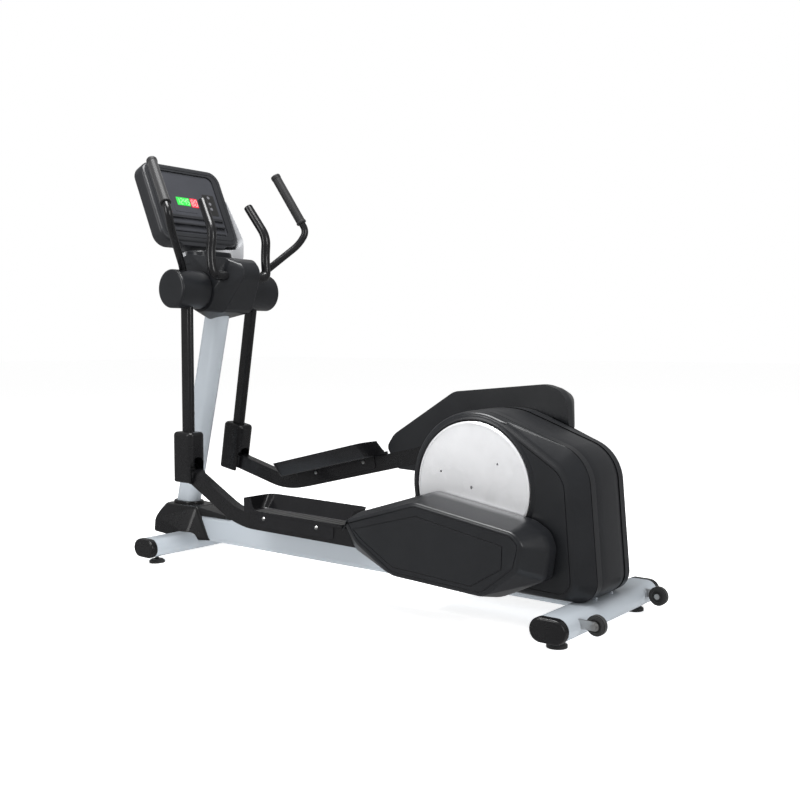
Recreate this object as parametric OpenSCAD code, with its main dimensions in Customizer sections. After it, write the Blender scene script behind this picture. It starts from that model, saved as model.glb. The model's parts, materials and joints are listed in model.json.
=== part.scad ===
// Elliptical trainer with a rear drive, made of separate pieces on real joints.
// X runs from the console end (-X) to the drive end (+X), Y across, Z up from the floor.

/* [Linkage] */
// Distance of the swing-arm axis in front of the middle of the machine
pivot_back = 775; // [770:1:780]
// Height of the swing-arm axis above the floor
pivot_z = 1116; // [1112:1:1120]
// Distance of the crank axis behind the middle of the machine
crank_x = 598; // [594:1:602]
// Height of the crank axis above the floor
crank_z = 430; // [426:1:434]
// Radius of the crank pin's circle
crank_r = 195; // [190:1:198]
// Swing-arm axis to lower joint
leg_len = 735; // [730:1:740]
// Lower joint to crank pin
coupler_len = 1446; // [1440:1:1452]
// Angle of the left crank pin at rest
crank_deg = -70; // [-75:1:-65]
// Sideways distance of the legs and pedal arms from the middle
arm_y = 182; // [182:1:184]

/* [Base] */
// Width of the main beam
beam_w = 110; // [106:1:112]
// Height of the main beam
beam_h = 110; // [106:1:112]
// Half length of the front stabilizer's tube
front_half = 290; // [285:1:300]
// Half length of the rear stabilizer's tube
rear_half = 305; // [300:1:310]
// Stabilizer tube, front to back
stab_w = 120; // [116:1:124]
// Stabilizer tube, height
stab_h = 74; // [70:1:76]
// Distance of the front stabilizer from the middle of the machine
front_stab = 906; // [900:1:910]
// Distance of the rear stabilizer from the middle of the machine
rear_stab = 981; // [978:1:986]
// Radius of a levelling foot's pad
foot_r = 32; // [30:1:34]
// Radius of a transport wheel
wheel_r = 31; // [30:0.5:31.5]

/* [Mast] */
// Lean of the mast from upright
mast_lean = 13.7; // [13:0.1:14.2]
// Mast tube, front to back
mast_w = 115; // [110:1:118]
// Mast tube, side to side
mast_d = 70; // [66:1:74]

/* [Swing arms] */
// Radius of the round covers on the swing axis
cover_r = 77.4; // [76:0.1:78]
// Leg tube, front to back
leg_w = 60; // [56:1:62]
// Leg tube, side to side
leg_d = 30; // [28:1:30]
// Radius of the moving handle tube
handle_r = 15; // [13:0.5:15]
// Radius of the soft grip
grip_r = 20; // [18:0.5:21]
// Radius of the fixed handlebar tube
bar_r = 19; // [16:0.5:20]

/* [Pedal arms] */
// Height of the pedal arm's tube
arm_h = 60; // [56:1:62]
// Width of the pedal arm's tube
arm_w = 40; // [38:1:40]
// Length of a pedal's tray
tray_len = 508; // [490:1:515]
// Width of a tray's floor
tray_w = 118; // [110:1:122]
// Height of a tray's high walls
tray_wall = 58; // [44:1:62]

/* [Drive] */
// Radius of the crank disc
disc_r = 216.6; // [214:0.1:218]
// Radius of the crank pulley
pulley_r = 165; // [160:1:168]
// Radius of the flywheel's small pulley
pinion_r = 27.5; // [26:0.5:29]
// Radius of the flywheel
fly_r = 128; // [120:1:130]

/* [Console] */
// Tilt of the console's face from upright
console_tilt = 24.3; // [23.8:0.1:24.8]
// Half width of the console
console_half = 211; // [208:1:214]
// Height of the console along its face
console_h = 373; // [368:1:376]

/* [Hidden] */

$fn = 64;
hull_fn = 32;
far = 3000;            // longer than the machine, for cuts that go right through
fit = 0.05;            // radial clearance of a running shaft
pivot_x = -pivot_back;

silver = "lightsteelblue";
black = "#1d1e20";
charcoal = "#3a3c40";
steel = "silver";

// ---- linkage, solved from the driving lengths -------------------------------------------------

// Crank pin's place in X and Z on one side; the right pin is opposite the left one
function pin_at(s) = let (a = crank_deg + (s > 0 ? 180 : 0))
    [crank_x + crank_r * cos(a), crank_z + crank_r * sin(a)];
// Swing of a leg from upright, positive when its lower end is forward
function swing_deg(s) = let (d = pin_at(s) - [pivot_x, pivot_z], reach = norm(d))
    acos((leg_len * leg_len + reach * reach - coupler_len * coupler_len) / (2 * leg_len * reach))
    - atan2(d[1], d[0]) - 90;
// Lower joint's place in X and Z
function joint_at(s) = [pivot_x, pivot_z] - leg_len * [sin(swing_deg(s)), cos(swing_deg(s))];
// Pitch of the line from the lower joint to the crank pin
function arm_pitch(s) = let (d = pin_at(s) - joint_at(s)) atan2(d[1], d[0]);

// ---- frames -----------------------------------------------------------------------------------

// Everything sided is drawn on the right (+Y); the left is its mirror image
module side(s) { if (s > 0) children(); else mirror([0, 1, 0]) children(); }
module both_sides() { children(); mirror([0, 1, 0]) children(); }
module in_swing(s) { side(s) translate([pivot_x, 0, pivot_z]) rotate([0, swing_deg(s), 0]) children(); }
module in_arm(s) {
    side(s) translate([joint_at(s)[0], 0, joint_at(s)[1]]) rotate([0, -arm_pitch(s), 0]) children();
}
module in_mast() { translate([pivot_x, 0, pivot_z]) rotate([0, mast_lean, 0]) children(); }
module in_console() { translate([-876, 0, 1320]) rotate([0, -console_tilt, 0]) children(); }

// ---- shapes -----------------------------------------------------------------------------------

// Rectangle with round corners, on the origin
module rrect(w, h, r) {
    square([w - 2 * r, h], center = true);
    square([w, h - 2 * r], center = true);
    for (x = [-1, 1], y = [-1, 1]) translate([x * (w / 2 - r), y * (h / 2 - r)]) circle(r);
}
// Flat-oval section, long side along X
module stadium(w, h) {
    square([w - h, h], center = true);
    for (x = [-1, 1]) translate([x * (w - h) / 2, 0]) circle(h / 2);
}
// Drawing (X, Z) stretched across Y between y0 and y1
module across(y0, y1) { translate([0, y1, 0]) rotate([90, 0, 0]) linear_extrude(y1 - y0) children(); }
// Round bar across Y
module rod_y(x, z, r, y0, y1) { translate([x, y0, z]) rotate([-90, 0, 0]) cylinder(r = r, h = y1 - y0); }
// Its children's Z axis laid from point a to point b
module along(a, b) {
    d = b - a;
    translate(a) rotate([0, acos(d[2] / norm(d)), atan2(d[1], d[0])]) children();
}

function unit(v) = v / norm(v);
// A path with its inner corners rounded, d back along each leg, in n steps
function rounded(p, d, n = 6) = concat([p[0]], [for (i = [1 : len(p) - 2])
    let (a = p[i] + d * unit(p[i - 1] - p[i]), c = p[i] + d * unit(p[i + 1] - p[i]))
        for (k = [0 : n]) let (t = k / n) (1 - t) * (1 - t) * a + 2 * t * (1 - t) * p[i] + t * t * c],
    [p[len(p) - 1]]);
// Direction of a path at its point i
function heading(p, i) = unit(p[min(i + 1, len(p) - 1)] - p[max(i - 1, 0)]);
// Round tube swept along a path in space
module swept(p, r, sides = 20) {
    n = len(p);
    points = [for (i = [0 : n - 1])
        let (t = heading(p, i), u = unit(cross(t, [1, 0, 0])), v = cross(u, t))
            for (k = [0 : sides - 1]) p[i] + r * (u * cos(360 * k / sides) + v * sin(360 * k / sides))];
    walls = [for (i = [0 : n - 2], k = [0 : sides - 1]) let (m = (k + 1) % sides)
        [i * sides + k, i * sides + m, (i + 1) * sides + m, (i + 1) * sides + k]];
    caps = [[for (k = [sides - 1 : -1 : 0]) k], [for (k = [0 : sides - 1]) (n - 1) * sides + k]];
    polyhedron(points, concat(walls, caps), convexity = 6);
}
// Outline drawn round circles given as [x, z, r], counter-clockwise and each touching it
function normal_deg(a, b) = let (d = [b[0] - a[0], b[1] - a[1]])
    atan2(d[1], d[0]) - 90 + asin((a[2] - b[2]) / norm(d));
function belt_round(c, grow = 0, n = 16) = [for (i = [0 : len(c) - 1])
    let (prev = c[(i + len(c) - 1) % len(c)], next = c[(i + 1) % len(c)],
         from = normal_deg(prev, c[i]), turn = (normal_deg(c[i], next) - from + 720) % 360)
        for (k = [0 : n]) let (a = from + turn * k / n)
            [c[i][0] + (c[i][2] + grow) * cos(a), c[i][1] + (c[i][2] + grow) * sin(a)]];

// ---- base -------------------------------------------------------------------------------------

beam_z = 117;
wall = 4;
stab_z = 62;
stab_top = stab_z + stab_h / 2;
mast_foot_z = 150;
mast_front = -1072;
foot_front_x = -885;
foot_rear_x = 978;
foot_y = 263;
pad_h = 14;
stem_r = 6;
nut_r = 12;

// Place and half length of each stabilizer
stabs = [[-front_stab, front_half], [rear_stab, rear_half]];

module stab_outline() { stadium(stab_w, stab_h); }
module stab_blocks() {
    for (p = stabs) translate([p[0], 0, stab_z]) across(-p[1], p[1]) stab_outline();
}
module beam_outline(grow = 0) {
    rotate([90, 0, 90]) linear_extrude(far, center = true) rrect(beam_w + grow, beam_h + grow, 20);
}
module main_beam() {
    color(silver) difference() {
        union() {
            translate([-940, 0, beam_z]) rotate([90, 0, 90]) linear_extrude(1940) difference() {
                rrect(beam_w, beam_h, 20);
                rrect(beam_w - 2 * wall, beam_h - 2 * wall, 16);
            }
            translate([mast_front, -50, stab_top]) cube([132, 100, mast_foot_z - stab_top]);
        }
        stab_blocks();
        translate([mast_front + wall, -50 + wall, stab_top - 1])
            cube([124, 92, mast_foot_z - stab_top - wall]);
    }
}
module stabilizer(p, foot_x) {
    color(silver) difference() {
        union() {
            translate([p[0], 0, stab_z]) across(-p[1], p[1]) difference() {
                stab_outline();
                stadium(stab_w - 2 * wall, stab_h - 2 * wall);
            }
            both_sides() translate([foot_x, foot_y, stab_z - stab_h / 2 + 1]) cylinder(r = nut_r, h = 18);
        }
        both_sides() translate([foot_x, foot_y, 0]) cylinder(r = stem_r + fit, h = stab_z);
    }
}
module front_stabilizer() { stabilizer(stabs[0], foot_front_x); }
module rear_stabilizer() { stabilizer(stabs[1], foot_rear_x); }

cap_len = 28;
module stabilizer_caps() {
    color(black) both_sides() for (p = stabs) translate([p[0], p[1], stab_z]) {
        across(0, 16) stadium(stab_w + 2, stab_h + 2);
        across(16, 23) stadium(stab_w - 4, stab_h - 4);
        across(23, cap_len) stadium(stab_w - 20, stab_h - 20);
        across(-12, 0) stadium(stab_w - 2 * wall, stab_h - 2 * wall);
    }
}
// A levelling foot: rubber pad, lock nut and threaded stem
module levelling_foot(x, s) {
    color(black) side(s) translate([x, foot_y, 0]) {
        cylinder(r = foot_r, h = 8);
        translate([0, 0, 8]) cylinder(r1 = foot_r, r2 = foot_r - 8, h = pad_h - 8);
        translate([0, 0, pad_h]) cylinder(r = 9.5, h = 6, $fn = 6);
        cylinder(r = stem_r, h = 56);
    }
}
module foot_front_left() { levelling_foot(foot_front_x, -1); }
module foot_front_right() { levelling_foot(foot_front_x, 1); }
module foot_rear_left() { levelling_foot(foot_rear_x, -1); }
module foot_rear_right() { levelling_foot(foot_rear_x, 1); }

wheel_x = 1085;
wheel_y = 218;
wheel_z = 73;
wheel_w = 22;
axle_r = 5;
// A tab bracket on the outer side of each wheel, welded to the stabilizer
module wheel_brackets() {
    color(steel) both_sides() difference() {
        across(wheel_y + wheel_w / 2 + 1, wheel_y + wheel_w / 2 + 6) {
            translate([wheel_x, wheel_z]) circle(14);
            translate([rear_stab + 30, wheel_z - 14]) square([wheel_x - rear_stab - 30, 28]);
        }
        stab_blocks();
        rod_y(wheel_x, wheel_z, axle_r, wheel_y, wheel_y + 30);
    }
}
module wheel_axles() {
    color(steel) both_sides() {
        rod_y(wheel_x, wheel_z, axle_r, wheel_y - wheel_w / 2 - 2, wheel_y + wheel_w / 2 + 10);
        translate([wheel_x, wheel_y + wheel_w / 2 + 6, wheel_z]) rotate([-90, 30, 0])
            cylinder(r = 9, h = 6, $fn = 6);
        rod_y(wheel_x, wheel_z, 9, wheel_y - wheel_w / 2 - 4, wheel_y - wheel_w / 2 - 1);
    }
}
module transport_wheel(s) {
    color(black) side(s) difference() {
        union() {
            rod_y(wheel_x, wheel_z, wheel_r, wheel_y - 8, wheel_y + 8);
            rod_y(wheel_x, wheel_z, wheel_r - 3, wheel_y - wheel_w / 2, wheel_y + wheel_w / 2);
        }
        rod_y(wheel_x, wheel_z, axle_r + fit, wheel_y - 20, wheel_y + 20);
        rod_y(wheel_x, wheel_z, 20, wheel_y + 8, wheel_y + 20);
        rod_y(wheel_x, wheel_z, 20, wheel_y - 20, wheel_y - 8);
    }
    color(black) side(s) difference() {
        rod_y(wheel_x, wheel_z, 10, wheel_y - wheel_w / 2, wheel_y + wheel_w / 2);
        rod_y(wheel_x, wheel_z, axle_r + fit, wheel_y - 20, wheel_y + 20);
    }
}
module transport_wheel_left() { transport_wheel(-1); }
module transport_wheel_right() { transport_wheel(1); }

// ---- mast and base cover ----------------------------------------------------------------------

mast_top = 62;
axle_bar_r = 15;

module mast_solid(grow, from, to) {
    in_mast() translate([0, 0, from]) linear_extrude(to - from) stadium(mast_w + grow, mast_d + grow);
}
module mast() {
    color(silver) difference() {
        mast_solid(0, -1010, mast_top);
        mast_solid(-2 * wall, -1100, mast_top - wall);
        translate([-far, -far / 2, -far + mast_foot_z]) cube([2 * far, far, far]);
        rod_y(pivot_x, pivot_z, axle_bar_r, -100, 100);
    }
}
// Faceted cover over the foot of the mast, drawn smaller by inset for its hollow
module base_block(inset, drop) {
    hull() {
        translate([0, 0, 84 - drop]) linear_extrude(1) polygon([
            [-1099 + inset, -94 + inset], [-1084, -122 + inset], [-893, -106 + inset],
            [-893, 106 - inset], [-1084, 122 - inset], [-1099 + inset, 94 - inset]]);
        translate([0, 0, 66 - drop]) linear_extrude(1) polygon([
            [-893, -100 + inset], [-800 - inset, -60 + inset],
            [-800 - inset, 60 - inset], [-893, 100 - inset]]);
        translate([0, 0, 204 - inset]) linear_extrude(1) polygon([
            [-1078 + inset, -50 + inset], [-1052, -80 + inset], [-872 - inset, -64 + inset],
            [-872 - inset, 64 - inset], [-1052, 80 - inset], [-1078 + inset, 50 - inset]]);
    }
    hull() {
        translate([-880, -58 + inset, 160 - drop]) cube([14, 116 - 2 * inset, 44 + drop - inset]);
        translate([-690, -54 + inset, 160 - drop]) cube([20 - inset, 108 - 2 * inset, 18 + drop - inset]);
    }
}
collar_x = -995;
module base_cover() {
    color(black) {
        difference() {
            base_block(0, 0);
            base_block(3, 5);
            mast_solid(0.2, -1010, -800);
            translate([0, 0, beam_z]) beam_outline();
            inlet_block();
            translate([-front_stab, 0, stab_z]) across(-far, far) stadium(stab_w + 1, stab_h + 1);
        }
        difference() {
            translate([collar_x, 0, 204]) linear_extrude(13) stadium(146, 97);
            mast_solid(0.2, -960, -880);
        }
    }
}

// ---- drive housing ----------------------------------------------------------------------------

// Circles that the housing's side outline touches, and the smaller ones of its flat side
housing_ring = [[crank_x, crank_z, 250], [432, 144, 45], [962, 169, 70], [866, 451, 140]];
panel_ring = [[crank_x, crank_z, 246], [444, 160, 38], [915, 170, 62], [846, 438, 108]];
spine_half = 78;
shoulder_y = 112;
side_y = 150;
well_floor = 138;
shell = 4;

module housing_block(grow, y_in, y_out) {
    hull() {
        across(y_in, shoulder_y) polygon(belt_round(housing_ring, -grow));
        across(y_out - 1, y_out) polygon(belt_round(panel_ring, -grow));
    }
}
module housing_shell(s) {
    color(charcoal) side(s) difference() {
        housing_block(0, spine_half, side_y);
        difference() {
            housing_block(shell, spine_half - 1, side_y - shell);
            rod_y(crank_x, crank_z, disc_r + 5 + shell, well_floor - shell, side_y);
        }
        rod_y(crank_x, crank_z, disc_r + 5, well_floor, side_y + 1);
        rod_y(crank_x, crank_z, 24, spine_half, side_y);
    }
}
module housing_left() { housing_shell(-1); }
module housing_right() { housing_shell(1); }
module housing_spine() {
    color(black) difference() {
        across(-spine_half, spine_half) difference() {
            polygon(belt_round(housing_ring, 2));
            polygon(belt_round(housing_ring, -shell));
        }
        translate([0, 0, beam_z]) beam_outline();
        translate([-far / 2, -far / 2, stab_top - far]) cube([far, far, far]);
    }
}

// ---- drive ------------------------------------------------------------------------------------

tower_y = beam_w / 2;
plate_t = 8;
bearing_r = 31;
fly_x = 862;
fly_z = 335;
fly_axle_r = 10;
pulley_y0 = -46;
pulley_y1 = -24;

// Two plates welded to the beam's sides carry the crank bearings and the flywheel's axle
module drive_tower() {
    color(black) both_sides() difference() {
        across(tower_y, tower_y + plate_t) {
            polygon([[500, 107], [940, 107], [925, 360], [862, 385], [665, 470], [598, 490], [530, 470]]);
        }
        rod_y(crank_x, crank_z, bearing_r, 0, 100);
        rod_y(fly_x, fly_z, fly_axle_r, 0, 100);
    }
}
module crank_bearings() {
    color(steel) both_sides() difference() {
        union() {
            rod_y(crank_x, crank_z, bearing_r, tower_y - 3, tower_y + plate_t);
            rod_y(crank_x, crank_z, bearing_r + 9, tower_y + plate_t, tower_y + plate_t + 10);
        }
        rod_y(crank_x, crank_z, axle_bar_r + fit, 0, 100);
    }
}
module crank_shaft() { color(steel) rod_y(crank_x, crank_z, axle_bar_r, -142, 142); }
// Silver disc with a bevelled rim, three small holes and the crank pin's seat
module crank_disc(s) {
    face = 159;
    color("gainsboro") side(s) difference() {
        union() {
            rod_y(crank_x, crank_z, disc_r, 142, face - 5);
            translate([crank_x, face - 5, crank_z]) rotate([-90, 0, 0])
                cylinder(r1 = disc_r, r2 = disc_r - 5, h = 5);
        }
        rod_y(crank_x, crank_z, disc_r - 9, face - 1.5, face + 1);
        for (a = [40 : 120 : 280])
            rod_y(crank_x + 130 * cos(a), crank_z + 130 * sin(a), 4, 141, face + 1);
        rod_y(crank_x, crank_z, 5, 141, face + 1);
        rod_y(pin_at(s)[0], pin_at(s)[1], 6, 141, face + 1);
    }
}
module crank_disc_left() { crank_disc(-1); }
module crank_disc_right() { crank_disc(1); }
module crank_pulley() {
    color("dimgray") difference() {
        union() {
            rod_y(crank_x, crank_z, pulley_r, pulley_y0, pulley_y1);
            rod_y(crank_x, crank_z, 34, pulley_y0 - 3, pulley_y1 + 20);
        }
        difference() {
            rod_y(crank_x, crank_z, pulley_r - 10, -36, 0);
            rod_y(crank_x, crank_z, 34, -60, 20);
        }
        for (a = [0 : 60 : 300]) rod_y(crank_x + 95 * cos(a), crank_z + 95 * sin(a), 26, -60, 0);
        rod_y(crank_x, crank_z, axle_bar_r, -100, 100);
    }
}
module flywheel() {
    color("slategray") difference() {
        union() {
            rod_y(fly_x, fly_z, fly_r, -4, 40);
            rod_y(fly_x, fly_z, pinion_r, pulley_y0, 0);
            rod_y(fly_x, fly_z, 22, pulley_y0, 50);
        }
        difference() {
            rod_y(fly_x, fly_z, fly_r - 28, 16, 41);
            rod_y(fly_x, fly_z, 22, 0, 50);
        }
        rod_y(fly_x, fly_z, fly_axle_r + fit, -100, 100);
    }
}
module flywheel_axle() {
    color(steel) rod_y(fly_x, fly_z, fly_axle_r, -tower_y - plate_t, tower_y + plate_t);
    color(steel) both_sides() difference() {
        rod_y(fly_x, fly_z, 17, tower_y + plate_t, tower_y + plate_t + 10);
        rod_y(fly_x, fly_z, fly_axle_r - 2, 0, 100);
    }
}
belt_gap = 0.4;
belt_t = 4;
belt_ring = [[crank_x, crank_z, pulley_r], [fly_x, fly_z, pinion_r]];
module drive_belt() {
    color("#151515") across(pulley_y0 + 2, pulley_y1 - 2) difference() {
        polygon(belt_round(belt_ring, belt_gap + belt_t, 40));
        polygon(belt_round(belt_ring, belt_gap, 40));
    }
}
// Roller that bears on the belt's lower run, on a stub from the left tower plate
tension_r = 18;
run_deg = normal_deg(belt_ring[0], belt_ring[1]);
run_normal = [cos(run_deg), sin(run_deg)];
run_mid = ([crank_x, crank_z] + [fly_x, fly_z] + (pulley_r + pinion_r) * run_normal) / 2;
tension_at = run_mid + (belt_gap + belt_t + tension_r) * run_normal;
module belt_tensioner() {
    color("gray") {
        rod_y(tension_at[0], tension_at[1], tension_r, pulley_y0, pulley_y1);
        rod_y(tension_at[0], tension_at[1], 9, -tower_y, pulley_y0);
    }
}
// Magnet carrier round a part of the flywheel's rim, on the right tower plate
module brake_magnets() {
    color("dimgray") across(-8, tower_y) translate([fly_x, fly_z]) intersection() {
        difference() {
            circle(fly_r + 22);
            circle(fly_r + 4);
        }
        polygon([[0, 0], 300 * [cos(-85), sin(-85)], 300 * [cos(-20), sin(-20)]]);
    }
}
module control_board() {
    beam_top = beam_z + beam_h / 2;
    color("darkgreen") translate([450, -28, beam_top]) cube([110, 3, 62]);
    color("dimgray") translate([465, -25, beam_top]) cube([80, 42, 36]);
}
// Mains inlet in the front of the base cover
inlet_front = -1110;
module inlet_block() {
    translate([inlet_front, -20, 106]) cube([mast_front - inlet_front, 40, 30]);
}
module power_inlet() {
    color("black") difference() {
        inlet_block();
        translate([inlet_front - 1, -12.5, 112]) cube([16, 25, 18]);
    }
}

// ---- swing arms -------------------------------------------------------------------------------

hub_r = 36;
hub_y0 = 128;
cover_y0 = 116;
cover_y1 = 258;
eye_r = 26;
eye_w = 30;
pin_r = 12;
// The handle's route from the hub: elbow low and outside, then in and forward along the grip
handle_path = [[8, 203, 30], [14, 212, 84], [92, 334, 228], [108, 358, 288], [-57, 302, 500]];
grip_start = 0.16;

module swing_arm(s) {
    color(black) in_swing(s) difference() {
        union() {
            difference() {
                translate([0, arm_y, -leg_len + 16]) linear_extrude(leg_len - 40) difference() {
                    stadium(leg_w, leg_d);
                    stadium(leg_w - 7, leg_d - 7);
                }
                rod_y(0, 0, hub_r - 1, hub_y0, cover_y1);
                rod_y(0, -leg_len, eye_r - 1, 0, 400);
            }
            rod_y(0, 0, hub_r, hub_y0, cover_y1);
            rod_y(0, -leg_len, eye_r, arm_y - eye_w / 2, arm_y + eye_w / 2);
        }
        rod_y(0, 0, axle_bar_r + fit, 0, 400);
        rod_y(0, -leg_len, pin_r + fit, 0, 400);
    }
}
module swing_arm_left() { swing_arm(-1); }
module swing_arm_right() { swing_arm(1); }
// Round cover that turns with its leg; the leg leaves below and the handle above
module pivot_cover(s) {
    color(charcoal) in_swing(s) difference() {
        union() {
            difference() {
                rod_y(0, 0, cover_r, cover_y0, cover_y1);
                rod_y(0, 0, cover_r - 3, cover_y0 - 1, cover_y1 + 1);
            }
            rod_y(0, 0, cover_r - 1, hub_y0 + 2, hub_y0 + 6);
            rod_y(0, 0, cover_r, cover_y1, cover_y1 + 4);
            rod_y(0, 0, cover_r - 4, cover_y1 + 4, cover_y1 + 8);
        }
        rod_y(0, 0, hub_r, 0, cover_y1);
        translate([0, arm_y, -200]) linear_extrude(200) stadium(leg_w, leg_d);
        swept(rounded(handle_path, 30), handle_r);
    }
}
module pivot_cover_left() { pivot_cover(-1); }
module pivot_cover_right() { pivot_cover(1); }
module handle(s) {
    color(black) in_swing(s) difference() {
        swept(rounded(handle_path, 30), handle_r);
        rod_y(0, 0, hub_r, 0, 400);
    }
}
module handle_left() { handle(-1); }
module handle_right() { handle(1); }
// Soft grip with a ring at its lower end and a closed top
module grip(s) {
    elbow = handle_path[3];
    tip = handle_path[4];
    from = elbow + grip_start * (tip - elbow);
    len = norm(tip - from);
    color(black) in_swing(s) along(from, tip) difference() {
        union() {
            cylinder(r = grip_r, h = len + 6);
            cylinder(r = grip_r + 2, h = 9);
            translate([0, 0, len - 4]) cylinder(r = grip_r + 2.5, h = 14);
            translate([0, 0, len + 10]) cylinder(r = grip_r - 1, h = 3);
        }
        translate([0, 0, -1]) cylinder(r = handle_r + 0.1, h = len + 1);
    }
}
module grip_left() { grip(-1); }
module grip_right() { grip(1); }

cover_w = 115;
cover_d = 85;
cover_down = 48;
cover_up = 158;
slot_r = 34;
// Boxy cover over the lower joint, open below, with an arched slot for the pedal arm behind
module joint_cover(s) {
    color(black) in_swing(s) translate([0, arm_y, -leg_len]) difference() {
        union() {
            translate([0, 0, -cover_down]) linear_extrude(cover_down + cover_up - 8)
                rrect(cover_w, cover_d, 22);
            translate([0, 0, cover_up - 8]) linear_extrude(8) rrect(cover_w - 8, cover_d - 8, 18);
        }
        translate([0, 0, -cover_down - 1]) linear_extrude(cover_down + cover_up - 8)
            rrect(cover_w - 8, cover_d - 8, 18);
        linear_extrude(cover_up + 1) stadium(leg_w, leg_d);
        translate([0, -slot_r, -cover_down - 1]) cube([cover_w, 2 * slot_r, cover_down + 24]);
        translate([0, 0, 23]) rotate([0, 90, 0]) cylinder(r = slot_r, h = cover_w);
    }
}
module joint_cover_left() { joint_cover(-1); }
module joint_cover_right() { joint_cover(1); }

// ---- pedal arms -------------------------------------------------------------------------------

// Centre line of the arm in X and Z, from the lower joint to the crank pin
arm_path = [[0, 0, 0], [327, 0, -135], [1100, 0, -71], [coupler_len, 0, 0]];
tray_slope = atan2(arm_path[2][2] - arm_path[1][2], arm_path[2][0] - arm_path[1][0]);
tray_start = 30;        // from the arm's bend to the tray's front wall
fork_t = 10;
fork_gap = 21;          // half the gap between the fork's cheeks
fork_reach = 52;        // from the joint to the arm's tube

// Point beside a path's point i, off by a given distance
function arm_edge(p, i, off) = let (t = heading(p, i)) [p[i][0] + t[2] * off, p[i][2] - t[0] * off];
// Outline of the arm seen from the side, h high
function arm_outline(h) = let (p = rounded(arm_path, 90, 8), n = len(p))
    concat([for (i = [0 : n - 1]) arm_edge(p, i, h / 2)], [for (i = [n - 1 : -1 : 0]) arm_edge(p, i, -h / 2)]);
module arm_solid(h, w) { across(arm_y - w / 2, arm_y + w / 2) polygon(arm_outline(h)); }

module pedal_arm(s) {
    tube_y0 = arm_y - arm_w / 2;
    tube_y1 = arm_y + arm_w / 2;
    slope = atan2(-arm_path[1][2], arm_path[1][0]);
    fork_half = fork_gap + fork_t;
    color(black) in_arm(s) difference() {
        union() {
            difference() {
                arm_solid(arm_h, arm_w);
                arm_solid(arm_h - 6, arm_w - 6);
                rod_y(0, 0, fork_reach, 0, 400);
            }
            difference() {
                union() {
                    rod_y(0, 0, eye_r + 2, arm_y - fork_half, arm_y + fork_half);
                    rotate([0, slope, 0]) translate([0, arm_y - fork_half, -eye_r])
                        cube([fork_reach + 8, 2 * fork_half, 2 * eye_r]);
                }
                translate([-100, arm_y - fork_gap, -100]) cube([300, 2 * fork_gap, 200]);
            }
            rotate([0, slope, 0]) translate([fork_reach - 6, arm_y - fork_half, -eye_r])
                cube([14, 2 * fork_half, 2 * eye_r]);
            rod_y(coupler_len, 0, 36, tube_y0, tube_y1);
        }
        rod_y(0, 0, pin_r, 0, 400);
        rod_y(coupler_len, 0, 26, 0, 400);
    }
}
module pedal_arm_left() { pedal_arm(-1); }
module pedal_arm_right() { pedal_arm(1); }
// Its children at both ends of a span centred on y, the second one turned outwards
module both_ends(y, half) {
    translate([0, y + half, 0]) children();
    translate([0, y - half, 0]) mirror([0, 1, 0]) children();
}
module joint_pin(s) {
    color(steel) in_arm(s) {
        rod_y(0, 0, pin_r, arm_y - 33, arm_y + 33);
        both_ends(arm_y, 31) rod_y(0, 0, 17, 0, 4);
    }
}
module joint_pin_left() { joint_pin(-1); }
module joint_pin_right() { joint_pin(1); }
// Crank pin in its ball bearing; its inner end faces the disc
module crank_pin(s) {
    color(steel) in_arm(s) {
        rod_y(coupler_len, 0, pin_r, 160.5, arm_y + 26);
        rod_y(coupler_len, 0, 26, arm_y - 10, arm_y + 10);
        rod_y(coupler_len, 0, 18, arm_y + 26, arm_y + 32);
    }
}
module crank_pin_left() { crank_pin(-1); }
module crank_pin_right() { crank_pin(1); }

// Arm cover seen from the side: a large inner outline that slopes in to a smaller outer face
cover_inner = [[892, -29], [938, -114], [1165, -162], [1535, -142], [1690, -50], [1696, 51], [1672, 95],
    [1616, 121], [1237, 143], [932, 15]];
cover_outer = [[946, 0], [1007, -64], [1168, -140], [1527, -122], [1639, -16], [1652, 68], [1616, 99],
    [1234, 119]];
arm_cover_y0 = 163;
arm_cover_y1 = 300;

module cover_block(inset) {
    middle = [1300, 0];
    hull() {
        across(arm_cover_y0 + inset, 205) polygon([for (p = cover_inner) p - inset * unit(p - middle)]);
        across(arm_cover_y1 - 1 - inset, arm_cover_y1 - inset)
            polygon([for (p = cover_outer) p - inset * unit(p - middle)]);
    }
}
module arm_cover(s) {
    color(charcoal) in_arm(s) difference() {
        cover_block(0);
        cover_block(4);
        arm_solid(arm_h, arm_w);
        rod_y(coupler_len, 0, 40, 100, 200);
    }
}
module arm_cover_left() { arm_cover(-1); }
module arm_cover_right() { arm_cover(1); }

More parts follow.
